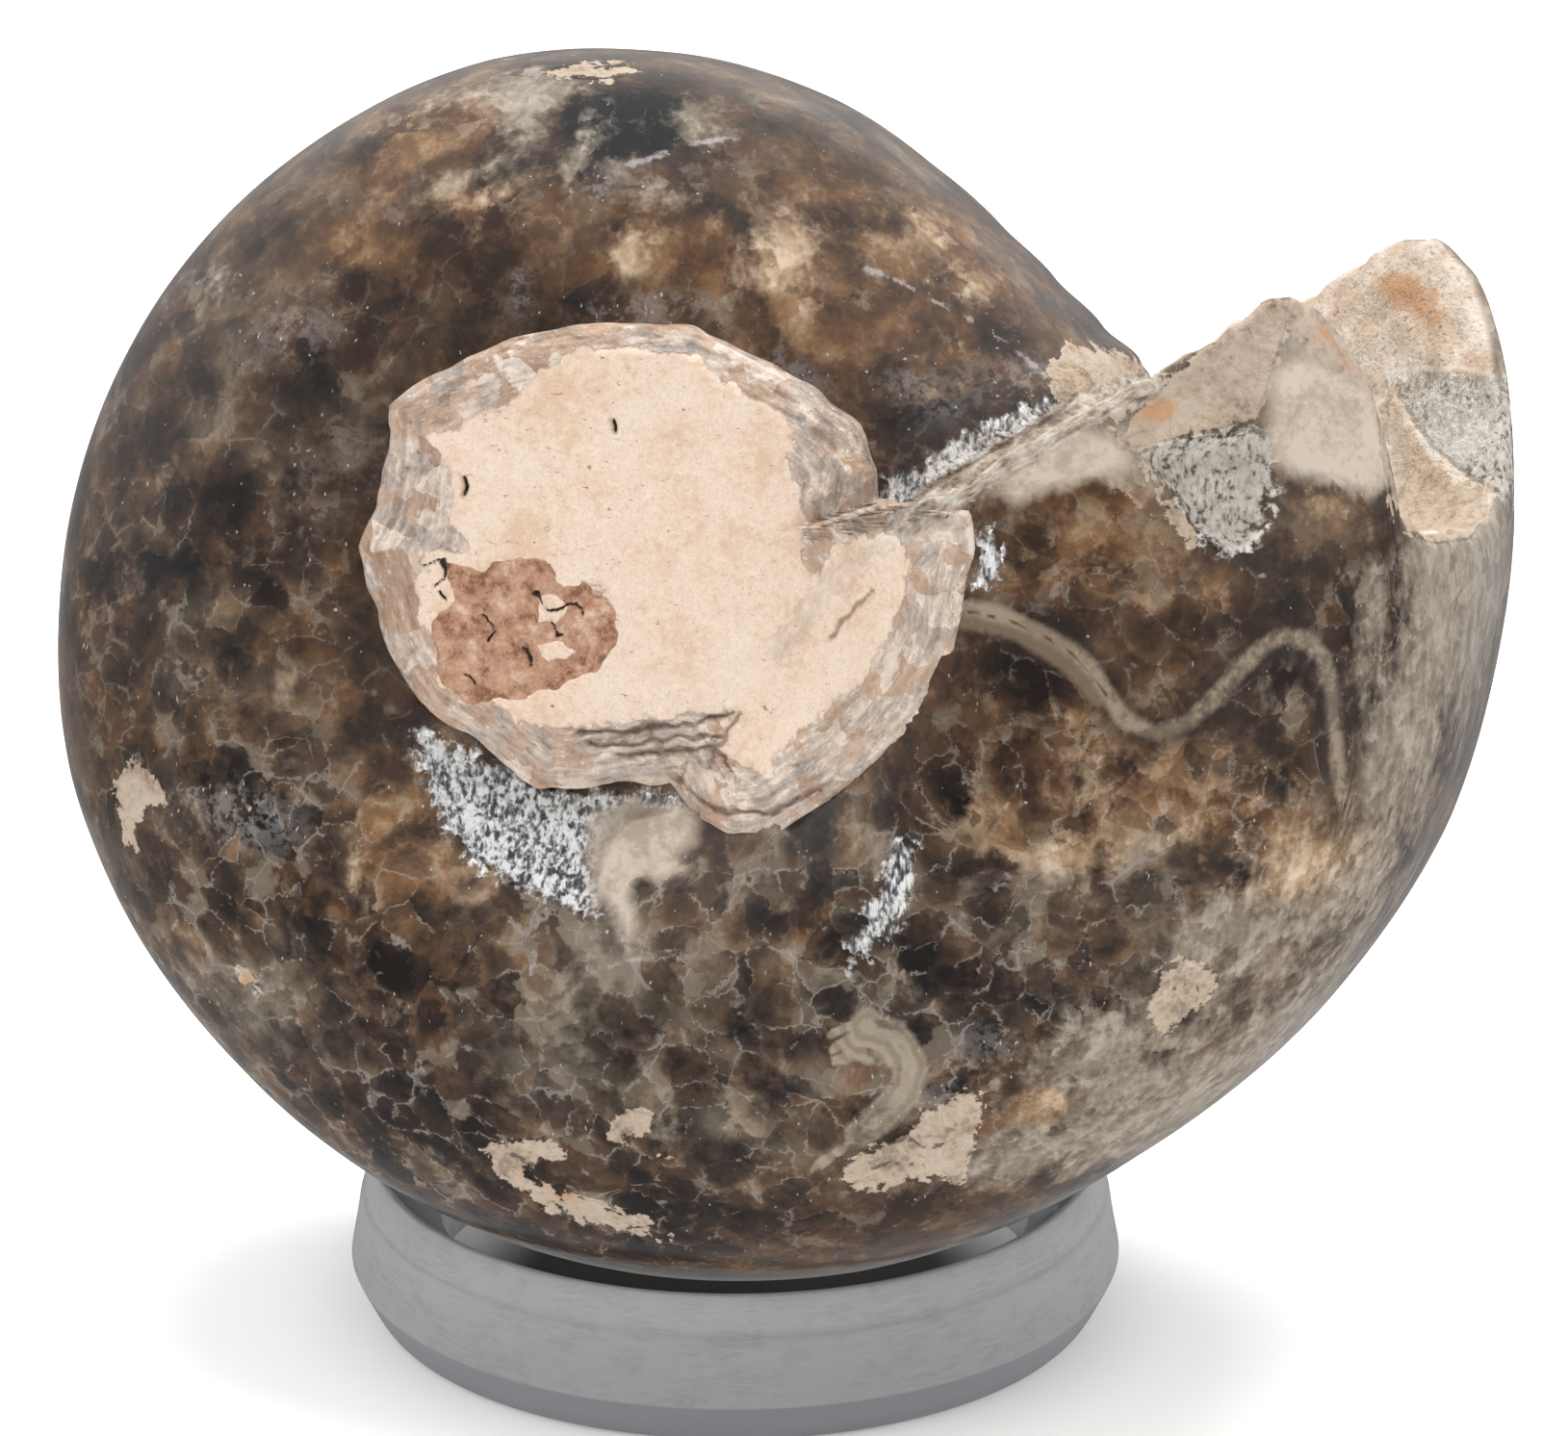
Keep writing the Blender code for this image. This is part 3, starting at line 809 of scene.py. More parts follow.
# joins the rows round, closes the ends on the hubs and picks each face's material
def shellFaces(rows, columns, broken):
    index = np.arange(rows * columns).reshape(rows, columns)
    lipRow = coil["turnRows"]
    index[lipRow:, 0] = index[0, 0]
    index[lipRow:, -1] = index[0, -1]
    after = np.roll(index, -1, 0)
    quads = np.stack([index[:, :-1], index[:, 1:], after[:, 1:], after[:, :-1]], -1).reshape(-1, 4)
    faces, finish = [], []
    for quad, isBroken in zip(quads.tolist(), broken[quads].any(1).tolist()):
        corners = tuple(dict.fromkeys(quad))
        if len(corners) > 2:
            faces.append(corners)
            finish.append(int(isBroken))
    for hub, edge in ((rows * columns, index[:lipRow, 0]), (rows * columns + 1, index[:lipRow, -1])):
        loop = edge.tolist()
        faces += [(a, b, hub) for a, b in zip(loop, loop[1:] + loop[:1])]
        finish += [0] * len(loop)
    return faces, finish


def makeShell():
    points = inCoil(*shellGrid())
    rows, columns = points.shape[:2]

    # worn lip: pull each column smooth where it turns down the end face
    before, behind = relief["wornRows"]
    band = slice(coil["turnRows"] - before, coil["turnRows"] + behind)
    for _ in range(relief["wornRounds"]):
        average = (np.roll(points, 1, 0) + np.roll(points, -1, 0)) / 2
        points[band] += (average[band] - points[band]) * relief["wornShare"]

    normal = gridNormals(points)
    if np.mean(np.sum(normal * (points - centre), -1)) < 0:
        normal = -normal
    flat, direction = points.reshape(-1, 3), normal.reshape(-1, 3)
    marks, onNear = shellMarks(flat, direction, np.repeat(np.arange(rows), columns))
    depth = shellDepth(flat, marks, onNear)
    wander = np.array([noise.noise_vector(Vector(v) / relief["wanderSize"]) for v in flat])
    broken = np.any([marks[name] > low for name, low in relief["fullFrom"].items()], axis=0)
    faces, finish = shellFaces(rows, columns, broken)

    hubHeight = coil["floorHeight"] - coil["hubInset"]
    hubs = [inCoil(np.array(0.0), np.array(0.0), np.array(side * hubHeight)) for side in (-1.0, 1.0)]
    flat = np.concatenate([flat - direction * depth[:, None], hubs])
    mesh = bpy.data.meshes.new("ammonite_shell")
    mesh.from_pydata(flat * mm, [], faces)
    mesh.polygons.foreach_set("material_index", finish)
    setMarks(mesh, {name: np.concatenate([value, [0, 0]]) for name, value in marks.items()})
    layer = mesh.attributes.new("wander", "FLOAT_VECTOR", "POINT")
    layer.data.foreach_set("vector", np.concatenate([wander, np.zeros((2, 3))]).astype(np.float32).ravel())
    return addPiece("ammonite_shell", mesh)


# puts a finished mesh in the scene, with no loose points, its faces outward and smooth shading
def addPiece(name, mesh):
    bm = bmesh.new()
    bm.from_mesh(mesh)
    loose = [v for v in bm.verts if not v.link_faces]
    bmesh.ops.delete(bm, geom=loose, context="VERTS")
    bmesh.ops.recalc_face_normals(bm, faces=bm.faces)
    bm.to_mesh(mesh)
    bm.free()
    mesh.shade_smooth()
    piece = bpy.data.objects.new(name, mesh)
    bpy.context.collection.objects.link(piece)
    return piece


calcite = dict(
    # each ramp runs from the darkest stone to the palest
    warm=((0.012, 0.0075, 0.006), (0.036, 0.019, 0.012), (0.098, 0.049, 0.024), (0.208, 0.113, 0.053),
          (0.37, 0.25, 0.15)),
    cool=((0.010, 0.009, 0.009), (0.027, 0.020, 0.016), (0.060, 0.045, 0.034), (0.120, 0.096, 0.072),
          (0.25, 0.212, 0.165)),
    toneAt=(0.16, 0.36, 0.56, 0.76, 0.98),
    tone=0.525,  # higher is paler
    hue=0.62,  # higher is warmer
    black=(0.006, 0.006, 0.0065),
    filler=(0.150, 0.124, 0.096),
    border=(0.30, 0.27, 0.235),
    halo=(0.36, 0.25, 0.155),
    taupeDark=(0.115, 0.094, 0.074),
    taupe=(0.237, 0.191, 0.146),
    cream=(0.405, 0.362, 0.295),
    glow=((0.18, 0.108, 0.056), (0.40, 0.28, 0.175), (0.64, 0.50, 0.375)),
    arc=((0.25, 0.20, 0.145), (0.35, 0.295, 0.225)),
    # grey of the frosted stone and of the painted sheen
    frostedAndSheen=(0.25, 0.245, 0.245),
    # white flecks: partly real white specks, partly painted glints
    fleckAndGlint=(0.50, 0.48, 0.47),
    vein=(0.44, 0.41, 0.41),
    suture=(0.32, 0.255, 0.185),
    sutureBand=(0.24, 0.175, 0.115),
    sutureCore=(0.075, 0.042, 0.025),
    sugarDark=(0.055, 0.06, 0.075),
    sugarGrey=(0.25, 0.25, 0.265),
    sugarPale=(0.60, 0.595, 0.585),
    sugarWhite=(0.90, 0.90, 0.90),
    grains=((0.15, 0.125, 0.105), (0.47, 0.425, 0.36), (0.68, 0.64, 0.58)),
    grainPale=(0.70, 0.665, 0.62),
    milk=(0.60, 0.51, 0.42),
    milkDeep=(0.42, 0.335, 0.255),
    matrixDark=(0.26, 0.195, 0.14),
    matrix=(0.43, 0.33, 0.24),
    matrixPale=(0.505, 0.415, 0.33),
    crack=(0.10, 0.065, 0.045),
    crustDark=(0.20, 0.145, 0.11),
    crust=(0.385, 0.285, 0.215),
    crustPale=(0.49, 0.39, 0.31),
    face=((0.56, 0.43, 0.32), (0.68, 0.59, 0.50)),
    faceSpeck=(0.20, 0.155, 0.13),
    rust=(0.50, 0.235, 0.085),
    seam=((0.16, 0.125, 0.10), (0.36, 0.29, 0.225), (0.50, 0.435, 0.37), (0.66, 0.63, 0.60)),
    # how strongly each layer covers what lies under it
    cover=dict(pale=0.88, frostedAndSheen=0.42, fleckAndGlint=0.7, vein=0.55, hem=0.5, band=0.60, core=0.85, milk=0.9,
               crack=0.35, drawnCrack=0.85, crust=0.85, faceSpeck=0.55, rust=0.7),
    # scale per mm, detail, roughness and twist of each noise
    middle=(0.30, 4.0, 0.62, 0.4),
    fine=(1.9, 3.0, 0.65),
    drift=(1.1, 2.0, 0.6),
    driftStretch=(1.0, 1.0, 0.32),
    sparkle=(3.1, 1.0, 0.6),
    sparkleStretch=(1.0, 1.0, 0.45),
    grainy=(2.2, 4.0, 0.75),
    grainyStretch=(1.0, 0.8, 0.17),
    polish=(1.5, 0.0),
    # how far each noise bends the cells, in mm
    wanderBend=0.9,
    fineBend=((0.72, -0.55, 0.66), 1.3),
    middleBend=((-0.6, 0.5, 0.7), 2.4),
    cellSize=2.45,  # mm
    fieldSize=4.6,
    shardSize=1.1,
    crackScale=0.62,  # per mm
    roughness=0.17,
    roughnessSpread=(-0.04, 0.06),
    hazeRoughness=0.22,  # added where the polish is rubbed
    sugarRoughness=0.30,
    crustRoughness=0.5,
    stoneRoughness=0.6,
    relief=0.0004,  # m
    polishRelief=0.06,  # shares of the relief
    stoneRelief=(0.05, 0.6),
    crystalRelief=1.5,
    ior=1.5,
)


# brown calcite, built up in layers: brown comes first, and each function from cellBorders to
# rustAndSeam lays one more kind of stone over the colour it is given; the frost layer also lays painted
# grey sheen and painted glints
class Calcite(Nodes):

    def __init__(self, name):
        super().__init__(name)
        c, mark = calcite, self.mark
        middle, fine = self.noise(*c["middle"])[0], self.noise(*c["fine"])[0]
        self.wander = mark("wander", "Vector")
        bent = self.vector("ADD", self.place, self.scaled(self.wander, c["wanderBend"]))
        for grain, (way, far) in ((fine, c["fineBend"]), (middle, c["middleBend"])):
            bent = self.vector("ADD", bent, self.scaled(way, self.centred(grain, far)))
        self.cell = self.cells(1 / c["cellSize"], place=bent)
        self.cellEdge = self.cells(1 / c["cellSize"], "DISTANCE_TO_EDGE", place=bent)[0]
        self.field = self.cells(1 / c["fieldSize"], place=bent)
        shard = self.cells(1 / c["shardSize"], place=bent)
        self.grain.update(
            middle=middle, fine=fine, wide=mark("wide"), patchy=mark("patchy"),
            drift=self.noise(*c["drift"], place=self.stretched(c["driftStretch"]))[0],
            sparkle=self.noise(*c["sparkle"], place=self.stretched(c["sparkleStretch"]))[0],
            **self.threeTones("cell", self.cell), **self.threeTones("field", self.field),
            **self.threeTones("shard", shard))
        self.cellular = self.step(mark("cellular"), 0.05, 0.8)
        self.isAmber = self.step(self.ragged(mark("amber"), middle=0.9), 0.22, 0.62)
        # mask of the rubbed haze; it also lays the painted grey sheen
        self.haze = self.times(self.step(mark("frostAndSheen"), 0.15, 1.0),
                               self.step(self.ragged(fine, patchy=0.4), 0.42, 0.62))

    # tint over colour where share says so, as strongly as the layer's cover
    def layer(self, name, share, colour, tint):
        return self.mix(self.times(share, calcite["cover"][name]), colour, tint)

    # clouds of warm and cool brown; each cell differs a little and is darker in its rounded heart
    def brown(self):
        c, mark, grain, times = calcite, self.mark, self.grain, self.times
        heart = self.rest(self.step(self.ragged(self.cell[0], fine=0.30), 0.42, 0.66))
        heart = times(heart, self.step(self.ragged(grain["cellC"], patchy=-1.0), 0.12, 0.40))
        tone = self.total(c["tone"], times(self.isAmber, self.centred(grain["fieldA"], 0.34)))
        tone = self.ragged(tone, wide=0.42, middle=0.84, patchy=0.30)
        # the dark marks are dark stone and, in the valley by the plug, painted shade
        tone = self.total(tone, times(mark("amber"), 0.20), times(mark("dark"), -0.24))
        tone = self.ragged(tone, cellA=self.blendValue(self.cellular, 0.10, 0.20))
        tone = self.total(tone, times(times(self.math("SUBTRACT", heart, 0.32), -0.18), self.cellular))
        tone = self.ragged(tone, fine=0.26, shardA=self.blendValue(self.cellular, 0.05, 0.12))
        hue = self.total(self.ragged(c["hue"], wide=-1.1), times(mark("amber"), 0.45),
                         times(self.cellular, -0.26))
        colour = self.mix(self.ragged(hue, cellB=0.5, middle=0.8),
                          self.ramp(tone, *zip(c["toneAt"], c["cool"])),
                          self.ramp(tone, *zip(c["toneAt"], c["warm"])))
        isBlack = self.step(self.ragged(mark("dark"), middle=1.2, shardA=0.3), 0.95, 1.35)
        return self.mix(isBlack, colour, c["black"])

    # soft pale borders round the amber fields, grey-beige filler and lines between the cells
    def cellBorders(self, colour):
        c, grain, times = calcite, self.grain, self.times
        halo = self.step(self.ragged(self.field[0], fine=0.24, shardA=0.08), 0.52, 0.72)
        halo = times(halo, times(self.isAmber, self.blendValue(grain["fieldB"], 0.10, 0.70)))
        haloColour = self.mix(self.step(self.ragged(grain["fine"], shardB=0.5), 0.35, 0.70),
                              c["warm"][3], c["halo"])
        colour = self.mix(halo, colour, haloColour)
        fill = times(self.math("SUBTRACT", self.cell[0], 0.62), 1.2)
        fill = self.total(self.ragged(fill, patchy=1.5, shardB=0.6, middle=0.9),
                          times(self.mark("dark"), -0.3))
        fill = times(self.step(fill, 0.26, 0.44), self.blendValue(self.cellular, 0.25, 0.60))
        colour = self.mix(fill, colour, self.mix(grain["shardC"], c["filler"], c["taupe"]))
        line = self.rest(self.step(self.cellEdge, 0.0, self.blendValue(grain["shardA"], 0.012, 0.075)))
        line = times(line, self.step(self.ragged(grain["patchy"], fine=1.0, shardC=0.4), 0.44, 0.62))
        line = times(line, self.blendValue(self.cellular, 0.13, 0.58))
        return self.mix(line, colour, c["border"])

    # pale clouds with torn edges, warmer among the amber
    def paleClouds(self, colour):
        c, at = calcite, (0.25, 0.5, 0.75)
        pale = self.mark("pale")
        ragged = self.ragged(self.centred(self.grain["middle"], 1.4), drift=0.75, shardB=0.35, fine=0.3)
        share = self.step(self.total(pale, ragged), 0.12, 0.95)
        tone = self.total(self.ragged(0.41, middle=0.4, drift=0.55, fine=0.45, shardA=0.2),
                          self.times(pale, 0.14))
        tint = self.mix(self.step(self.mark("amber"), 0.08, 0.5),
                        self.ramp(tone, *zip(at, (c["taupeDark"], c["taupe"], c["cream"]))),
                        self.ramp(tone, *zip(at, c["glow"])))
        return self.layer("pale", share, colour, tint)

    # the curved ghost of a shell wall
    def shellWall(self, colour):
        grain, times = self.grain, self.times
        soft = self.centred(grain["middle"], 0.9)
        arc = self.step(self.total(self.mark("arc"), soft), -0.05, 0.45)
        arcThin = self.step(self.total(self.mark("arcThin"), soft), 0.70, 0.88)
        broken = self.step(self.ragged(grain["middle"], fine=0.3), 0.25, 0.55, 0.35, 0.85)
        arc = times(self.larger(arc, arcThin), broken)
        stripe = self.math("SINE", self.ragged(times(self.mark("arc"), 9.0), middle=12.0))
        tint = self.mix(self.step(self.ragged(stripe, fine=2.0), -1.0, 1.0), *calcite["arc"])
        return self.mix(arc, colour, tint)

    # rubbed, frosted areas with a painted grey sheen of reflected surroundings, white flecks that are
    # partly painted glints, and thin veins
    def frostSheenAndVeins(self, colour):
        c, grain = calcite, self.grain
        # white flecks, partly real specks and partly painted glints
        fleckAndGlint = self.step(self.total(grain["sparkle"], self.times(self.mark("frostAndSheen"), 0.08)), 0.755, 0.81)
        colour = self.layer("frostedAndSheen", self.haze, colour, c["frostedAndSheen"])
        colour = self.layer("fleckAndGlint", fleckAndGlint, colour, c["fleckAndGlint"])
        vein = self.step(self.ragged(self.mark("veins"), middle=0.5, fine=0.6), 0.82, 1.0)
        vein = self.times(vein, self.step(self.ragged(grain["patchy"], shardC=0.8), 0.32, 0.60))
        return self.layer("vein", vein, colour, c["vein"])

    # suture: dark hem, pale band, dark core
    def sutureLine(self, colour):
        c, grain = calcite, self.grain
        wobble = self.ragged(self.centred(grain["middle"], 0.5), fine=0.22)
        wide, thin = (self.total(self.mark(name), wobble) for name in ("suture", "sutureThin"))
        colour = self.layer("hem", self.step(thin, -0.7, 0.45), colour, c["cool"][1])
        colour = self.layer("band", self.step(wide, 0.05, 0.50), colour, c["sutureBand"])
        worn = self.step(self.ragged(grain["patchy"], fine=1.2, middle=0.6), 0.30, 0.62, 0.42, 0.84)
        colour = self.mix(self.times(self.step(thin, 0.36, 0.88), worn), colour, c["suture"])
        core = self.step(self.ragged(self.mark("sutureCore"), fine=0.12), 0.85, 0.95)
        return self.layer("core", core, colour, c["sutureCore"])

    # sugary white crystals, granular where warm, and milky stone
    def crystals(self, colour):
        c, grain = calcite, self.grain
        grain["grainy"] = self.noise(*c["grainy"], place=self.stretched(c["grainyStretch"]))[0]
        self.face, warmth = self.mark("face"), self.mark("warmth")
        torn = self.times(self.face, self.centred(grain["middle"], 3.2))
        sugar = self.total(self.ragged(self.mark("sugar"), fine=2.0, shardA=0.7), torn)
        self.sugar = self.step(sugar, -0.25, 0.35)
        white = self.ramp(self.ragged(0.49, grainy=1.3, sparkle=0.8, shardB=0.16, patchy=0.15),
                          (0.30, c["sugarDark"]), (0.41, c["sugarGrey"]), (0.50, c["sugarPale"]),
                          (0.60, c["sugarWhite"]))
        granular = self.ramp(self.ragged(grain["fine"], sparkle=0.8, shardB=0.14),
                             *zip((0.30, 0.40, 0.60), c["grains"]))
        granular = self.mix(self.step(warmth, 1.25, 1.75, 0.0, 0.6), granular, c["grainPale"])
        self.sugarColour = self.mix(self.step(warmth, 0.1, 0.7), white, granular)
        colour = self.mix(self.sugar, colour, self.sugarColour)
        milk = self.step(self.ragged(self.mark("milk"), middle=1.4, shardB=0.3), -0.7, 0.45)
        tint = self.mix(self.step(self.ragged(grain["middle"], fine=0.5), 0.38, 0.66), c["milk"],
                        c["milkDeep"])
        return self.layer("milk", milk, colour, tint)

    # beige matrix with small dark cracks, and pinkish crust
    def matrixAndCrust(self, colour):
        c, grain, times = calcite, self.grain, self.times
        self.matrix = self.step(self.ragged(self.mark("matrix"), fine=1.0, shardC=0.55), 0.05, 0.16)
        tint = self.ramp(self.ragged(grain["middle"], fine=0.7, shardA=0.12),
                         (0.30, c["matrixDark"]), (0.44, c["matrix"]), (0.66, c["matrixPale"]))
        place = self.vector("ADD", self.place, self.scaled(self.wander, 1.0))
        crack = self.cells(c["crackScale"], "DISTANCE_TO_EDGE", place=place)[0]
        crack = times(self.rest(self.step(crack, 0.0, 0.024)),
                      self.step(self.ragged(grain["patchy"], shardA=0.5), 0.50, 0.66))
        crack = times(times(crack, self.matrix), c["cover"]["crack"])
        drawnCrack = self.step(self.ragged(self.mark("cracks"), fine=0.30), 0.84, 0.92)
        crack = self.larger(crack, times(drawnCrack, c["cover"]["drawnCrack"]))
        self.matrixColour = self.mix(crack, tint, c["crack"])
        colour = self.mix(self.matrix, colour, self.matrixColour)
        self.crust = self.step(self.ragged(self.mark("crust"), fine=0.9, shardB=0.4), -0.05, 0.3)
        tint = self.ramp(self.ragged(grain["middle"], fine=1.0, shardA=0.14),
                         (0.28, c["crustDark"]), (0.44, c["crust"]), (0.68, c["crustPale"]))
        return self.layer("crust", self.crust, colour, tint)

    # end face: cream crust, granular lower down
    def endFace(self, colour):
        c, grain = calcite, self.grain
        tint = self.mix(self.step(grain["middle"], 0.38, 0.62), *c["face"])
        speck = self.step(self.ragged(grain["sparkle"], grainy=0.3), 0.62, 0.70)
        tint = self.layer("faceSpeck", speck, tint, c["faceSpeck"])
        tint = self.mix(self.sugar, tint, self.sugarColour)
        tint = self.mix(self.matrix, tint, self.matrixColour)
        return self.mix(self.face, colour, tint)

    # rust stains and the grey, drawn-out stone along the seam
    def rustAndSeam(self, colour):
        c, mark = calcite, self.mark("seam")
        rust = self.step(self.ragged(self.mark("rust"), middle=2.2, fine=0.5), 0.42, 0.85)
        rust = self.times(rust, self.larger(self.face, self.larger(self.matrix, self.crust)))
        colour = self.layer("rust", rust, colour, c["rust"])
        tint = self.ramp(self.drawn(mark, 3.0, 0.8), *zip((0.36, 0.47, 0.58, 0.70), c["seam"]))
        self.seam = self.step(self.ragged(mark, fine=1.1), -0.15, 0.30)
        return self.mix(self.seam, colour, tint)

    # roughness: polished, less so where rubbed, and dull on broken stone
    def gloss(self, full):
        c = calcite
        shine = self.blendValue(self.grain["middle"], *(c["roughness"] + s for s in c["roughnessSpread"]))
        shine = self.total(shine, self.times(self.haze, c["hazeRoughness"]))
        if not full:
            return shine
        shine = self.blendValue(self.sugar, shine, c["sugarRoughness"])
        shine = self.blendValue(self.times(self.crust, 0.6), shine, c["crustRoughness"])
        soft = self.larger(self.larger(self.matrix, self.face), self.times(self.seam, 0.7))
        return self.blendValue(soft, shine, c["stoneRoughness"])

    # bump; it reads the marks alone, because bump nodes run their inputs three times
    def height(self, full):
        c, times = calcite, self.times
        if not full:
            return times(self.noise(*c["polish"])[0], c["polishRelief"])
        coarse = self.larger(self.larger(self.step(self.mark("matrix"), 0.0, 0.2), self.face),
                             self.step(self.mark("seam"), -0.15, 0.30, 0.0, 0.7))
        crystals = times(self.grain["grainy"], self.step(self.mark("sugar"), -0.1, 0.3))
        return self.total(times(self.grain["fine"], self.blendValue(coarse, *c["stoneRelief"])),
                          times(crystals, c["crystalRelief"]))


# the full version also has crystal, matrix and crust patches
def makeCalcite(name, full):
    kit = Calcite(name)
    layers = [kit.cellBorders, kit.paleClouds, kit.shellWall, kit.frostSheenAndVeins, kit.sutureLine]
    if full:
        layers += [kit.crystals, kit.matrixAndCrust, kit.endFace, kit.rustAndSeam]
    colour = kit.brown()
    for layer in layers:
        colour = layer(colour)
    return kit.finish(**{"Base Color": colour, "Roughness": kit.gloss(full), "IOR": calcite["ior"],
                         "Normal": kit.bump(kit.height(full), calcite["relief"])})


shell = makeShell()
shell.data.materials.append(makeCalcite("brown_calcite", full=False))
shell.data.materials.append(makeCalcite("brown_calcite_broken", full=True))
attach(shell, "root")
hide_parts("ammonite")
print("shell made", len(shell.data.polygons))


plug = dict(
    level=21.0,
    proud=0.8,
    blend=1.2,
    wrapAt=21,  # degrees at which the top passes from one turn of the flank to the next
    skirt=(0.7, 1.6, 3.2),  # how far down into the shell
    under=6.0,
    edgeInset=0.25,
    edgeRagged=0.22,
    turnSteps=420,
    rings=104,
    ringShare=0.72,  # below 1 the rings lie closer together towards the edge
    highest=0.5,
    # the layered rim: height of a ledge, how its level falls to the edge, and what roughens it
    ledge=0.75,
    rimFall=(1.15, 1.1, 0.12),
    rimRelief=dict(ledge=0.15, thin=0.2, chips=0.34, grit=0.06),
    flatRelief=dict(chips=0.03, grit=0.02),
    redSink=(0.14, 0.09),  # even, and with the chips
    # how much each line lifts, and over how many pixels
    lines=dict(crack=(-0.25, 3.5), slit=(-0.6, 5), layer=(-0.35, 5), seam=(0.35, 14)),
    # size, octaves and seed of each noise
    chips=(1.7, 3, 6.1),
    rimEdge=(2.2, 3, 1.3),
    grit=(0.55, 2, 2.9),
    # streaks: size across, size along, seed
    long=(1.5, 5.0, 4.0),
    thin=(0.55, 2.6, 8.0),
    crackThin=1.3,  # how much thinner cracks are drawn than slits
    crackFade=4,  # pixels
    layerFade=5,
    # how far drawn marks wander, as if on broken stone: pixels, then size, octaves and seeds
    shake=5.0,
    shakeNoise=((1.1, 3, 11.0), (1.1, 3, 23.0)),
    pixelsPerMm=16,
    # the far plug: width of its rim, how much that varies, and its stain
    plainRim=(3.2, 1.2),
    plainRimNoise=(6.0, 2, 2.2),
    plainRed=(0.35, 6),
    plainRedNoise=(9.0, 2, 7.7),
)

# turn angle in degrees and radius in mm of the two outlines
nearOutline = ((6, 25.0), (12, 26.1), (17, 26.2), (19, 23.5), (22, 18.2), (28, 18.9), (36, 19.0),
               (44, 18.4), (55, 17.7), (65, 17.2), (74, 17.3), (87, 16.6), (102, 16.5), (115, 16.5),
               (132, 16.9), (143, 17.6), (150, 15.9), (164, 15.1), (174, 15.6), (187, 14.5),
               (204, 14.0), (219, 13.3), (235, 12.3), (256, 13.0), (268, 12.5), (279, 12.0),
               (294, 12.8), (299, 15.5), (305, 17.4), (314, 18.8), (329, 20.1), (338, 21.3),
               (346, 22.9), (359, 24.4))
farOutline = ((0, 17.2), (40, 16.4), (80, 15.6), (120, 16.2), (160, 15.0), (200, 14.2),
              (240, 13.6), (280, 14.6), (320, 16.6))

# in pixels of the camera's frame
nearPlugMarks = dict(
    edge=[(579, 337), (650, 336), (712, 339), (755, 360), (802, 382), (850, 415), (883, 444), (905, 487),
          (898, 525), (933, 553), (964, 530), (1007, 530), (1014, 568), (1002, 615), (993, 672),
          (955, 749), (915, 790), (874, 825), (807, 868), (760, 875), (721, 858), (712, 825),
          (702, 810), (636, 818), (600, 826), (555, 825), (493, 777), (440, 744), (402, 696),
          (379, 625), (364, 568), (383, 525), (398, 463), (395, 420), (445, 387), (517, 353)],
    flat=[
        [(510, 427), (537, 418), (552, 395), (565, 378), (600, 362), (660, 357), (710, 364), (752, 390),
         (798, 414), (822, 448), (824, 490), (836, 530), (832, 580), (846, 618), (832, 658), (812, 690),
         (770, 732), (732, 744), (670, 748), (622, 758), (565, 758), (530, 750), (495, 726), (456, 712),
         (446, 670), (436, 640), (430, 600), (446, 574), (480, 568), (466, 534), (462, 495),
         (447, 452), (480, 436)],
        [(800, 690), (818, 640), (840, 596), (868, 566), (900, 556), (938, 562), (948, 590), (940, 634),
         (918, 680), (888, 722), (852, 746), (828, 760), (806, 780), (800, 806), (772, 800), (750, 780),
         (748, 752), (770, 722)],
    ],
    seam=[(1010, 494), (985, 512), (930, 552), (890, 584), (862, 606), (836, 640), (812, 672)],
    red=[
        [(464, 587), (502, 596), (540, 582), (569, 591), (583, 615), (607, 610), (636, 634), (640, 658),
         (617, 696), (579, 710), (531, 725), (493, 725), (460, 715), (452, 682), (450, 649), (474, 625)],
    ],
    island=[[(560, 622), (578, 618), (588, 634), (576, 648), (560, 644)],
            [(556, 672), (580, 668), (600, 676), (584, 684), (562, 682)]],
    cracks=[[(444, 590), (458, 582), (462, 600), (450, 606)], [(458, 614), (462, 624)],
            [(498, 640), (510, 652), (506, 668)], [(556, 618), (572, 634), (596, 628), (604, 640)],
            [(572, 646), (580, 660)], [(540, 676), (552, 690)], [(480, 700), (492, 712)]],
    slits=[[(636, 437), (638, 443), (638, 448)], [(481, 496), (484, 506), (481, 514)]],
    layers=[[(600, 762), (660, 758), (715, 752), (760, 740)], [(612, 774), (690, 768), (752, 762)],
            [(640, 786), (700, 780), (742, 776), (758, 800)], [(905, 612), (880, 640), (862, 662)],
            [(712, 822), (745, 842), (800, 846), (850, 818)], [(735, 800), (742, 780), (768, 742)]],
)


def roundKnots(knots):
    first, last = knots[0], knots[-1]
    return ((last[0] - 360, last[1]), *knots, (first[0] + 360, first[1]))


# height of the stone: flat, but lifted where the flank stands higher
def plugTop(angle, radius):
    wrapped = np.where(angle < math.radians(plug["wrapAt"]), angle, angle - turn)
    over = flankHeight(wrapped + turn, radius) + plug["proud"] - plug["level"]
    return plug["level"] + 0.5 * (over + np.hypot(over, plug["blend"]))


# noise drawn out along the edge: it changes fast inward and slowly round the stone
def streaks(points, inward, across, along, seed):
    shift = Vector((seed, -seed, 0.3 * seed))
    move = Vector((1.0, 0.45, -0.7)) / across
    return np.array([noise.fractal(Vector(p) / along + move * d + shift, 1.0, 2.0, 3)
                     for p, d in zip(points, inward)])


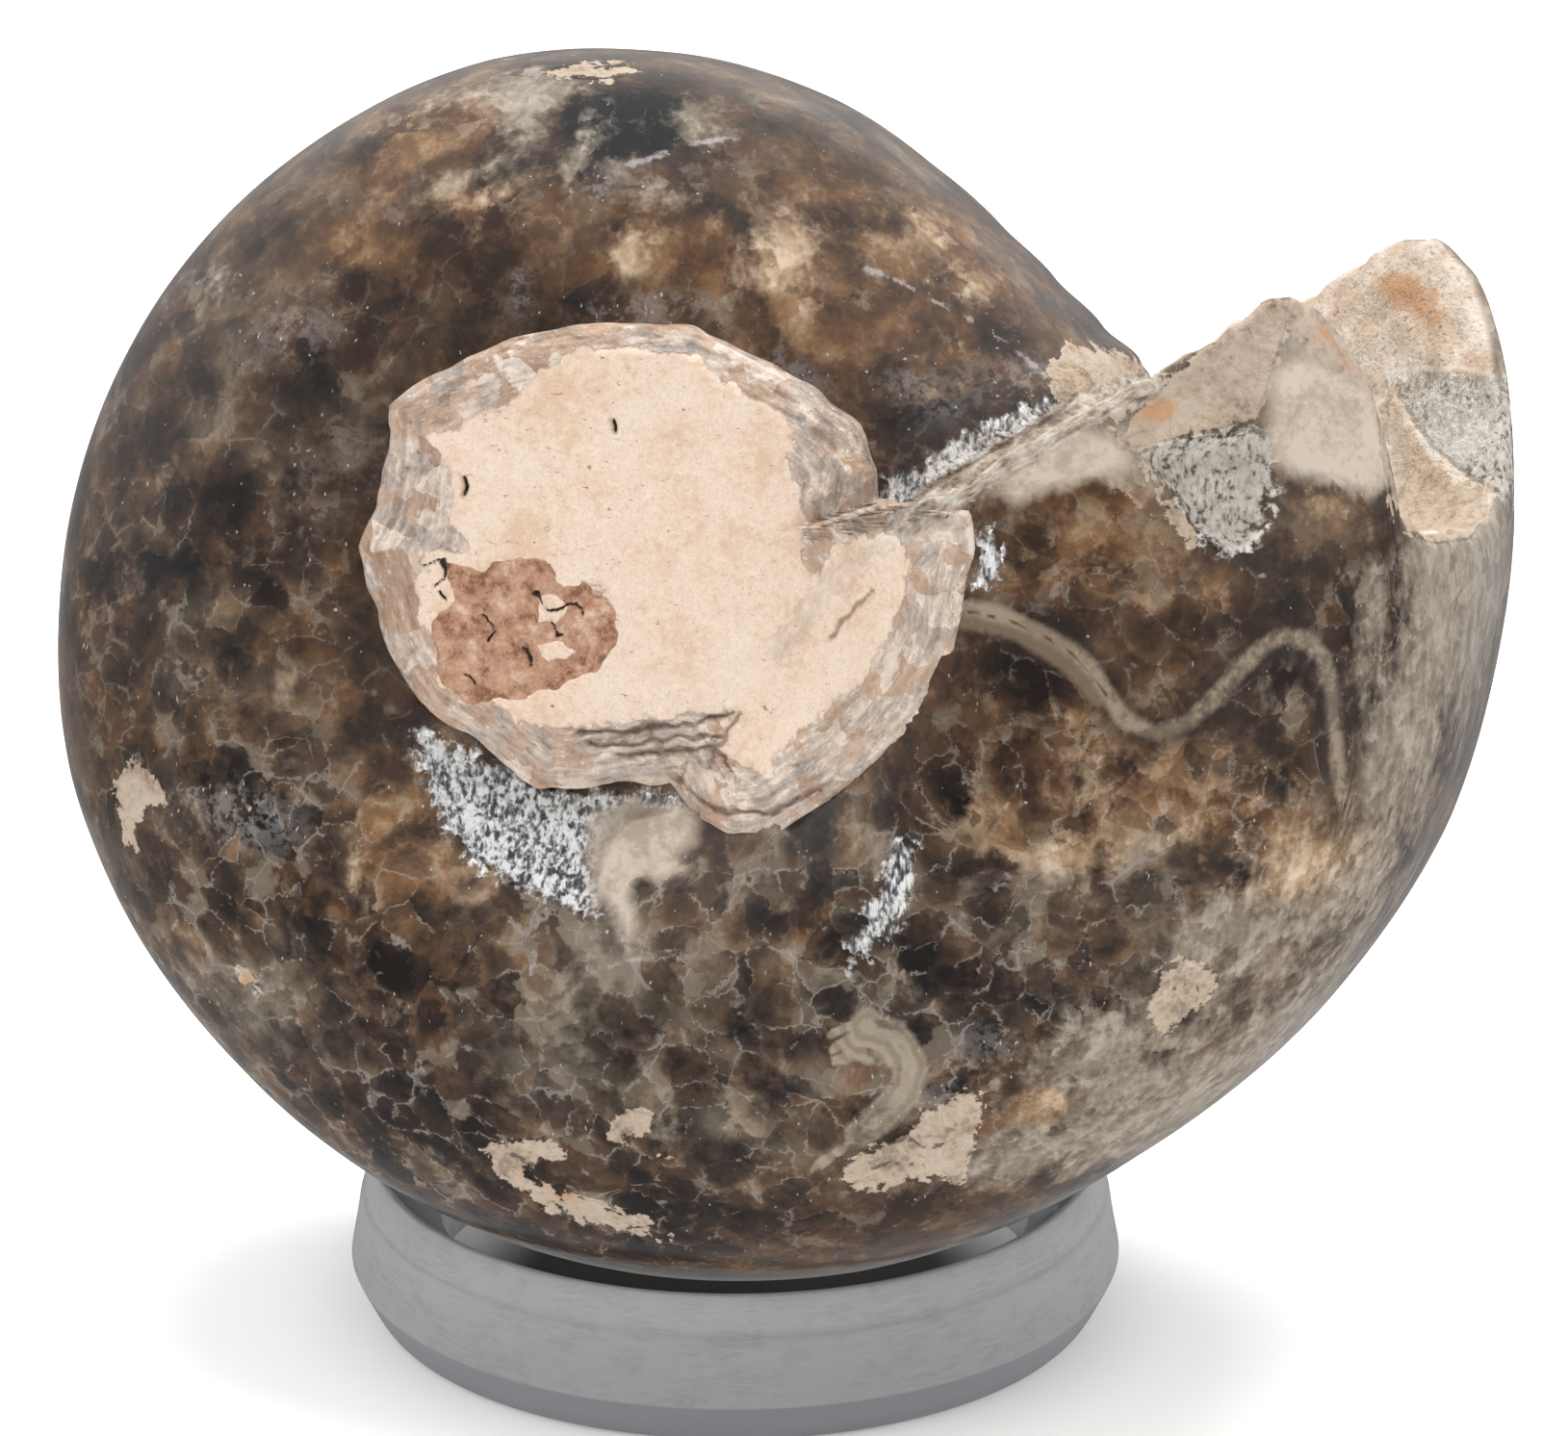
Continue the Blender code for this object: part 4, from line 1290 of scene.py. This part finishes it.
# mm in from the edge, and pixels to each drawn mark
def drawnPlug(flat, marks):
    at = inFrame(flat)
    shaken = at + np.stack([ripple(flat, *n) for n in plug["shakeNoise"]], -1) * plug["shake"]
    return dict(
        inward=np.maximum(insideOutline(at, marks["edge"]) / plug["pixelsPerMm"], 0),
        smooth=np.max([insideOutline(at, o) for o in marks["flat"]], axis=0),
        red=insideOutline(at, marks["red"][0]),
        island=np.max([insideOutline(shaken, o) for o in marks["island"]], axis=0),
        crack=np.min([fromLine(shaken, line) for line in marks["cracks"]], axis=0),
        slit=np.min([fromLine(at, line) for line in marks["slits"]], axis=0),
        layer=np.min([fromLine(shaken, line) for line in marks["layers"]], axis=0),
        seam=fromLine(shaken, marks["seam"]),
    )


# the same for the far plug, where noise stands in for drawn marks
def plainPlug(flat, inward):
    none, scale = np.full(len(flat), 99.0), plug["pixelsPerMm"]
    width, vary = plug["plainRim"]
    level, steep = plug["plainRed"]
    return dict(
        inward=inward,
        smooth=scale * (inward - width - vary * ripple(flat, *plug["plainRimNoise"])),
        red=scale * (ripple(flat, *plug["plainRedNoise"]) - level) * steep,
        island=-none, crack=none, slit=none, layer=none, seam=none,
    )


# height of every point over the smooth top, and where it is rim or red stain
def plugLift(flat, side, near):
    chips, grit = ripple(flat, *plug["chips"]), ripple(flat, *plug["grit"])
    rim = 1 - ease((near["smooth"] + 8 + 9 * ripple(flat, *plug["rimEdge"])) / 18)
    long, thin = (streaks(flat, near["inward"], across, along, seed + side)
                  for across, along, seed in (plug["long"], plug["thin"]))
    even = near["inward"] / plug["ledge"]
    steps = even + 1.4 * long + 0.8 * chips
    ledge = np.floor(steps) + ease((steps - np.floor(steps)) / 0.4)
    drop, width, base = plug["rimFall"]
    onRim, onFlat = plug["rimRelief"], plug["flatRelief"]
    fall = -drop * np.exp(-near["inward"] / width) - base
    # ledges that fall away to the edge
    lift = rim * (fall + onRim["ledge"] * (ledge - even) + onRim["thin"] * (0.5 - np.abs(thin))
                  + onRim["chips"] * chips + onRim["grit"] * grit)
    lift += (1 - rim) * (onFlat["chips"] * chips + onFlat["grit"] * grit)
    redShare = ease((near["red"] + 5 + 7 * chips) / 5) * (1 - ease((near["island"] + 3) / 4))
    sink, sinkChips = plug["redSink"]
    lift -= redShare * (sink + sinkChips * chips)
    for name, (high, reach) in plug["lines"].items():
        lift += high * (1 - ease(near[name] / reach))
    return np.minimum(lift, plug["highest"]), rim, redShare


def makePlug(name, outline, side, marks):
    angles = turn * np.arange(plug["turnSteps"]) / plug["turnSteps"]
    reach = between(roundKnots(outline), np.degrees(angles))
    # the edge is slightly ragged
    ragged = np.array([noise.noise(Vector((math.cos(a), math.sin(a), side)) * 9.0) for a in angles])
    reach = reach - plug["edgeInset"] + plug["edgeRagged"] * ragged
    share = np.linspace(0, 1, plug["rings"] + 1)[1:] ** plug["ringShare"]
    radius = share[:, None] * reach
    angle = np.broadcast_to(angles, radius.shape)
    flat = inCoil(angle, radius, side * plugTop(angle, radius)).reshape(-1, 3)
    near = drawnPlug(flat, marks) if marks else plainPlug(flat, (reach - radius).reshape(-1))
    lift, rim, redShare = plugLift(flat, side, near)
    up = side * axis
    flat = flat + lift[:, None] * up
    skin = len(flat)

    # skirt and underside
    edge = flat[-plug["turnSteps"]:]
    lower = [edge - up * down for down in plug["skirt"]]
    hubs = [inCoil(np.array(0.0), np.array(0.0), np.array(side * height))
            for height in (plug["level"], plug["level"] - plug["under"])]
    points = np.concatenate([flat, *lower, hubs])
    index = np.arange(skin + len(lower) * plug["turnSteps"]).reshape(-1, plug["turnSteps"])
    after = np.roll(index, -1, 1)
    quads = np.stack([index[:-1], index[1:], after[1:], after[:-1]], -1).reshape(-1, 4)
    faces = [tuple(quad) for quad in quads.tolist()]
    inner, outer = index[0].tolist(), index[-1].tolist()
    hub = len(points) - 2
    faces += [(a, b, hub) for a, b in zip(inner, inner[1:] + inner[:1])]
    faces += [(b, a, hub + 1) for a, b in zip(outer, outer[1:] + outer[:1])]

    mesh = bpy.data.meshes.new(name)
    mesh.from_pydata(points * mm, [], faces)
    pad = np.zeros(len(points) - skin)
    nearestCrack = np.minimum(near["crack"] * plug["crackThin"], near["slit"])
    setMarks(mesh, dict(
        rim=np.concatenate([rim, pad + 1]),
        inward=np.concatenate([near["inward"], pad]),
        red=np.concatenate([np.clip(redShare, 0, 1), pad]),
        crack=np.concatenate([1 - ease(nearestCrack / plug["crackFade"]), pad]),
        layer=np.concatenate([1 - ease(near["layer"] / plug["layerFade"]), pad]),
        seam=np.concatenate([np.clip(1 - near["seam"] / markReach, -1.5, 1), pad - 1.5]),
    ))
    return addPiece(name, mesh)


matrixStone = dict(
    cream=(0.78, 0.615, 0.49),
    creamDeep=(0.70, 0.50, 0.36),
    creamPale=(0.80, 0.67, 0.56),
    red=(0.40, 0.205, 0.125),
    redPale=(0.53, 0.325, 0.22),
    redDark=(0.22, 0.10, 0.055),
    rimBrown=(0.36, 0.25, 0.18),
    rimBeige=(0.60, 0.465, 0.37),
    rimGrey=(0.46, 0.405, 0.37),
    rimPale=(0.74, 0.64, 0.555),
    streak=(0.19, 0.125, 0.09),
    crack=(0.035, 0.02, 0.015),
    creamGrain=(0.58, 0.41, 0.29),
    speck=(0.27, 0.15, 0.09),
    rimTint=(0.45, 0.26, 0.145),
    glint=(0.80, 0.76, 0.72),
    seam=((0.30, 0.25, 0.21), (0.50, 0.42, 0.35), (0.70, 0.66, 0.62)),
    redTop=(0.66, 0.48, 0.36),
    # scale per mm, detail, roughness and twist of each noise
    soft=(0.25, 4.0, 0.6),
    fine=(1.8, 4.0, 0.65),
    grain=(6.0, 2.0, 0.6),
    redNoise=(0.7, 5.0, 0.65),
    fibre=(3.0, 2.0, 0.6, 1.5),
    fibreStretch=(0.5, 1.0, 1.6),
    chipBend=(0.6, 1.0),
    chipScale=0.55,  # per mm
    dotScale=0.62,
    roughness=0.62,
    rimRoughness=(0.22, 0.42),
    relief=0.0003,  # m
)


# cream matrix with a reddish stain, in a rim of layered, half clear shell stone
def makeMatrix():
    kit = Nodes("matrix_stone")
    c, grain, times, step, ragged, mix = matrixStone, kit.grain, kit.times, kit.step, kit.ragged, kit.mix
    inward, seamMark = kit.mark("inward"), kit.mark("seam")
    chipPlace = kit.vector("ADD", kit.place, kit.scaled(kit.noise(*c["chipBend"])[1], 2.0))
    grain.update({name: kit.noise(*c[name])[0] for name in ("soft", "fine", "grain")},
                 **kit.threeTones("chip", kit.cells(c["chipScale"], place=chipPlace)))

    # cream with sparse specks and short fibres
    cream = kit.ramp(ragged(grain["soft"], fine=0.8),
                     *zip((0.32, 0.5, 0.68), (c["creamPale"], c["cream"], c["creamDeep"])))
    cream = mix(times(step(grain["grain"], 0.42, 0.66), 0.34), cream, c["creamGrain"])
    dots = kit.cells(c["dotScale"])
    speckSize = times(kit.math("POWER", kit.threeTones("dot", dots)["dotB"], 1.8), 0.12)
    speck = kit.rest(step(dots[0], times(speckSize, 0.5), speckSize))
    fibre = step(kit.noise(*c["fibre"], place=kit.stretched(c["fibreStretch"]))[0], 0.69, 0.74)
    specks = kit.larger(speck, fibre)
    cream = mix(times(specks, 0.75), cream, c["speck"])

    # layered rim with tinted chips, dark lines and glints
    long = kit.drawn(inward, 5.0, 0.35, 4.0)
    thin = kit.drawn(inward, 5.0, 0.9, 3.0)
    rimTone = ragged(long, chipA=0.22, soft=0.3, fine=0.35)
    rimColour = kit.ramp(rimTone, (0.30, c["rimBrown"]), (0.42, c["rimGrey"]), (0.52, c["rimBeige"]),
                         (0.62, c["rimPale"]), (0.74, c["creamPale"]))
    tint = times(step(ragged(grain["chipB"], soft=0.8), 0.56, 0.72), 0.55)
    rimColour = mix(tint, rimColour, c["rimTint"])
    offLine = kit.math("ABSOLUTE", kit.math("SUBTRACT", thin, 0.5))
    lines = times(kit.rest(step(offLine, 0.0, 0.022)), step(ragged(grain["soft"], chipC=0.3), 0.46, 0.60))
    rimColour = mix(times(lines, 0.6), rimColour, c["streak"])
    glints = times(step(thin, 0.585, 0.63), step(grain["fine"], 0.48, 0.62))
    rimColour = mix(times(glints, 0.7), rimColour, c["glint"])
    rimShare = step(ragged(kit.mark("rim"), fine=1.3, chipA=0.35), 0.30, 0.70)
    colour = mix(rimShare, cream, rimColour)

    # seam, red stain, cracks and the edges of layers
    seamColour = kit.ramp(kit.drawn(seamMark, 3.0, 0.8), *zip((0.38, 0.5, 0.66), c["seam"]))
    seam = step(ragged(seamMark, fine=1.4, soft=1.0), 0.15, 0.55)
    colour = mix(times(seam, kit.blendValue(rimShare, 0.35, 0.75)), colour, seamColour)
    redTone = ragged(kit.noise(*c["redNoise"])[0], fine=0.6, grain=0.3)
    redColour = kit.ramp(redTone, (0.34, c["redDark"]), (0.44, c["red"]), (0.62, c["redPale"]),
                         (0.74, c["redTop"]))
    colour = mix(step(ragged(kit.mark("red"), fine=1.0), 0.42, 0.58), colour, redColour)
    colour = mix(step(kit.mark("crack"), 0.35, 0.8), colour, c["crack"])
    colour = mix(times(step(kit.mark("layer"), 0.2, 0.9), 0.6), colour, c["streak"])

    rimGloss = kit.blendValue(step(rimTone, 0.4, 0.6), *c["rimRoughness"])
    gloss = kit.blendValue(rimShare, c["roughness"], rimGloss)
    height = kit.total(times(grain["fine"], kit.blendValue(rimShare, 0.16, 0.8)),
                       times(grain["grain"], 0.10), times(specks, -0.3))
    return kit.finish(**{"Base Color": colour, "Roughness": gloss,
                         "Normal": kit.bump(height, c["relief"])})


stoneMaterial = makeMatrix()
for name, outline, side, marks in (("near_matrix", nearOutline, 1, nearPlugMarks),
                                   ("far_matrix", farOutline, -1, None)):
    stone = makePlug(name, outline, side, marks)
    stone.data.materials.append(stoneMaterial)
    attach(stone, "root")
print("matrix made")


ring = dict(
    # half section, radius and height in mm
    section=((23.1, 0.0), (23.6, 0.5), (24.85, 2.95), (24.88, 3.15), (24.5, 5.2), (24.2, 7.3),
             (23.85, 7.6), (23.75, 9.3), (23.5, 10.05), (23.2, 10.15), (22.8, 9.95), (19.4, 6.3),
             (19.0, 5.9), (19.0, 1.4), (20.2, 0.0)),
    seatWithin=1.9,  # mm in from the widest
    seatShadeTint=(0.38, 0.39, 0.40),
    seatHaze=0.6,
    footFrom=22.0,  # mm out from the middle
    footTo=3.0,  # below this height the outside is painted darker, as painted shade
    footShadeTint=(0.57, 0.58, 0.62),
    rounding=2,
    roundShare=0.2,
    inset=0.03,
    waves=((3, 0.8, 0.012), (7, 0.0, 0.008)),  # how many round the ring, start, size in mm
    turnSteps=288,
    tint=(0.90, 0.925, 0.92),
    wornTint=(0.60, 0.62, 0.64),
    absorb=(0.66, 0.68, 0.70),
    density=22.0,  # per metre
    haze=0.36,
    hazeSpread=(-0.05, 0.06),
    # scale per mm, detail, roughness and twist of each noise
    rub=(0.5, 4.0, 0.6),
    scratch=(2.0, 3.0, 0.6, 1.2),
    scratchStretch=(0.25, 0.25, 2.0),
    relief=0.00002,  # m
    clear=0.66,  # the rest is the milky look of rubbed acrylic
    ior=1.49,
)


def makeRing():
    section = np.array(ring["section"])
    # each round cuts the corners a little
    for _ in range(ring["rounding"]):
        after = np.roll(section, -1, 0)
        part = (after - section) * ring["roundShare"]
        section = np.stack([section + part, after - part], 1).reshape(-1, 2)
    angles = turn * np.arange(ring["turnSteps"]) / ring["turnSteps"]
    radius, height = section.T
    wave = sum(size * np.sin(count * angles + start) for count, start, size in ring["waves"])
    reach = radius[None, :] - ring["inset"] + wave[:, None]
    points = np.stack([reach * np.cos(angles)[:, None], reach * np.sin(angles)[:, None],
                       np.broadcast_to(height, reach.shape)], -1)
    points = points + np.array(coil["ringCentre"])
    count = len(section)
    index = np.arange(ring["turnSteps"] * count).reshape(-1, count)
    along, around = np.roll(index, -1, 1), np.roll(index, -1, 0)
    quads = np.stack([index, around, np.roll(around, -1, 1), along], -1).reshape(-1, 4)
    mesh = bpy.data.meshes.new("display_ring")
    mesh.from_pydata(points.reshape(-1, 3) * mm, [], quads.tolist())
    # the seat under the stone and the outside of the foot are painted darker, as painted shade
    seat = radius < radius.max() - ring["seatWithin"]
    foot = (radius > ring["footFrom"]) & (height < ring["footTo"])
    setMarks(mesh, dict(seat=np.tile(seat, ring["turnSteps"]), foot=np.tile(foot, ring["turnSteps"])))
    return addPiece("display_ring", mesh)


def makeAcrylic():
    kit = Nodes("clear_acrylic")
    rub = kit.noise(*ring["rub"])[0]
    scratch = kit.noise(*ring["scratch"], place=kit.stretched(ring["scratchStretch"]))[0]
    haze = kit.blendValue(rub, *(ring["haze"] + spread for spread in ring["hazeSpread"]))
    absorb = kit.add("ShaderNodeVolumeAbsorption", {"Color": ring["absorb"], "Density": ring["density"]})
    kit.feed(kit.out.inputs["Volume"], absorb.outputs[0])
    seat = kit.step(kit.mark("seat"), 0.1, 0.9)
    haze = kit.blendValue(seat, haze, ring["seatHaze"])
    # painted shade: the seat under the stone and the outside of the foot are tinted darker
    tint = kit.mix(seat, ring["tint"], ring["seatShadeTint"])
    tint = kit.mix(kit.mark("foot"), tint, ring["footShadeTint"])
    worn = kit.times(kit.step(scratch, 0.60, 0.44), kit.step(rub, 0.40, 0.62, 0.10, 0.45))
    tint = kit.mix(worn, tint, ring["wornTint"])
    return kit.finish(**{"Base Color": tint, "Roughness": haze, "IOR": ring["ior"],
                         "Transmission Weight": ring["clear"],
                         "Normal": kit.bump(scratch, ring["relief"])})


stand = makeRing()
stand.data.materials.append(makeAcrylic())
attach(stand, "root")
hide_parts("ring_stand")
print("ring made")
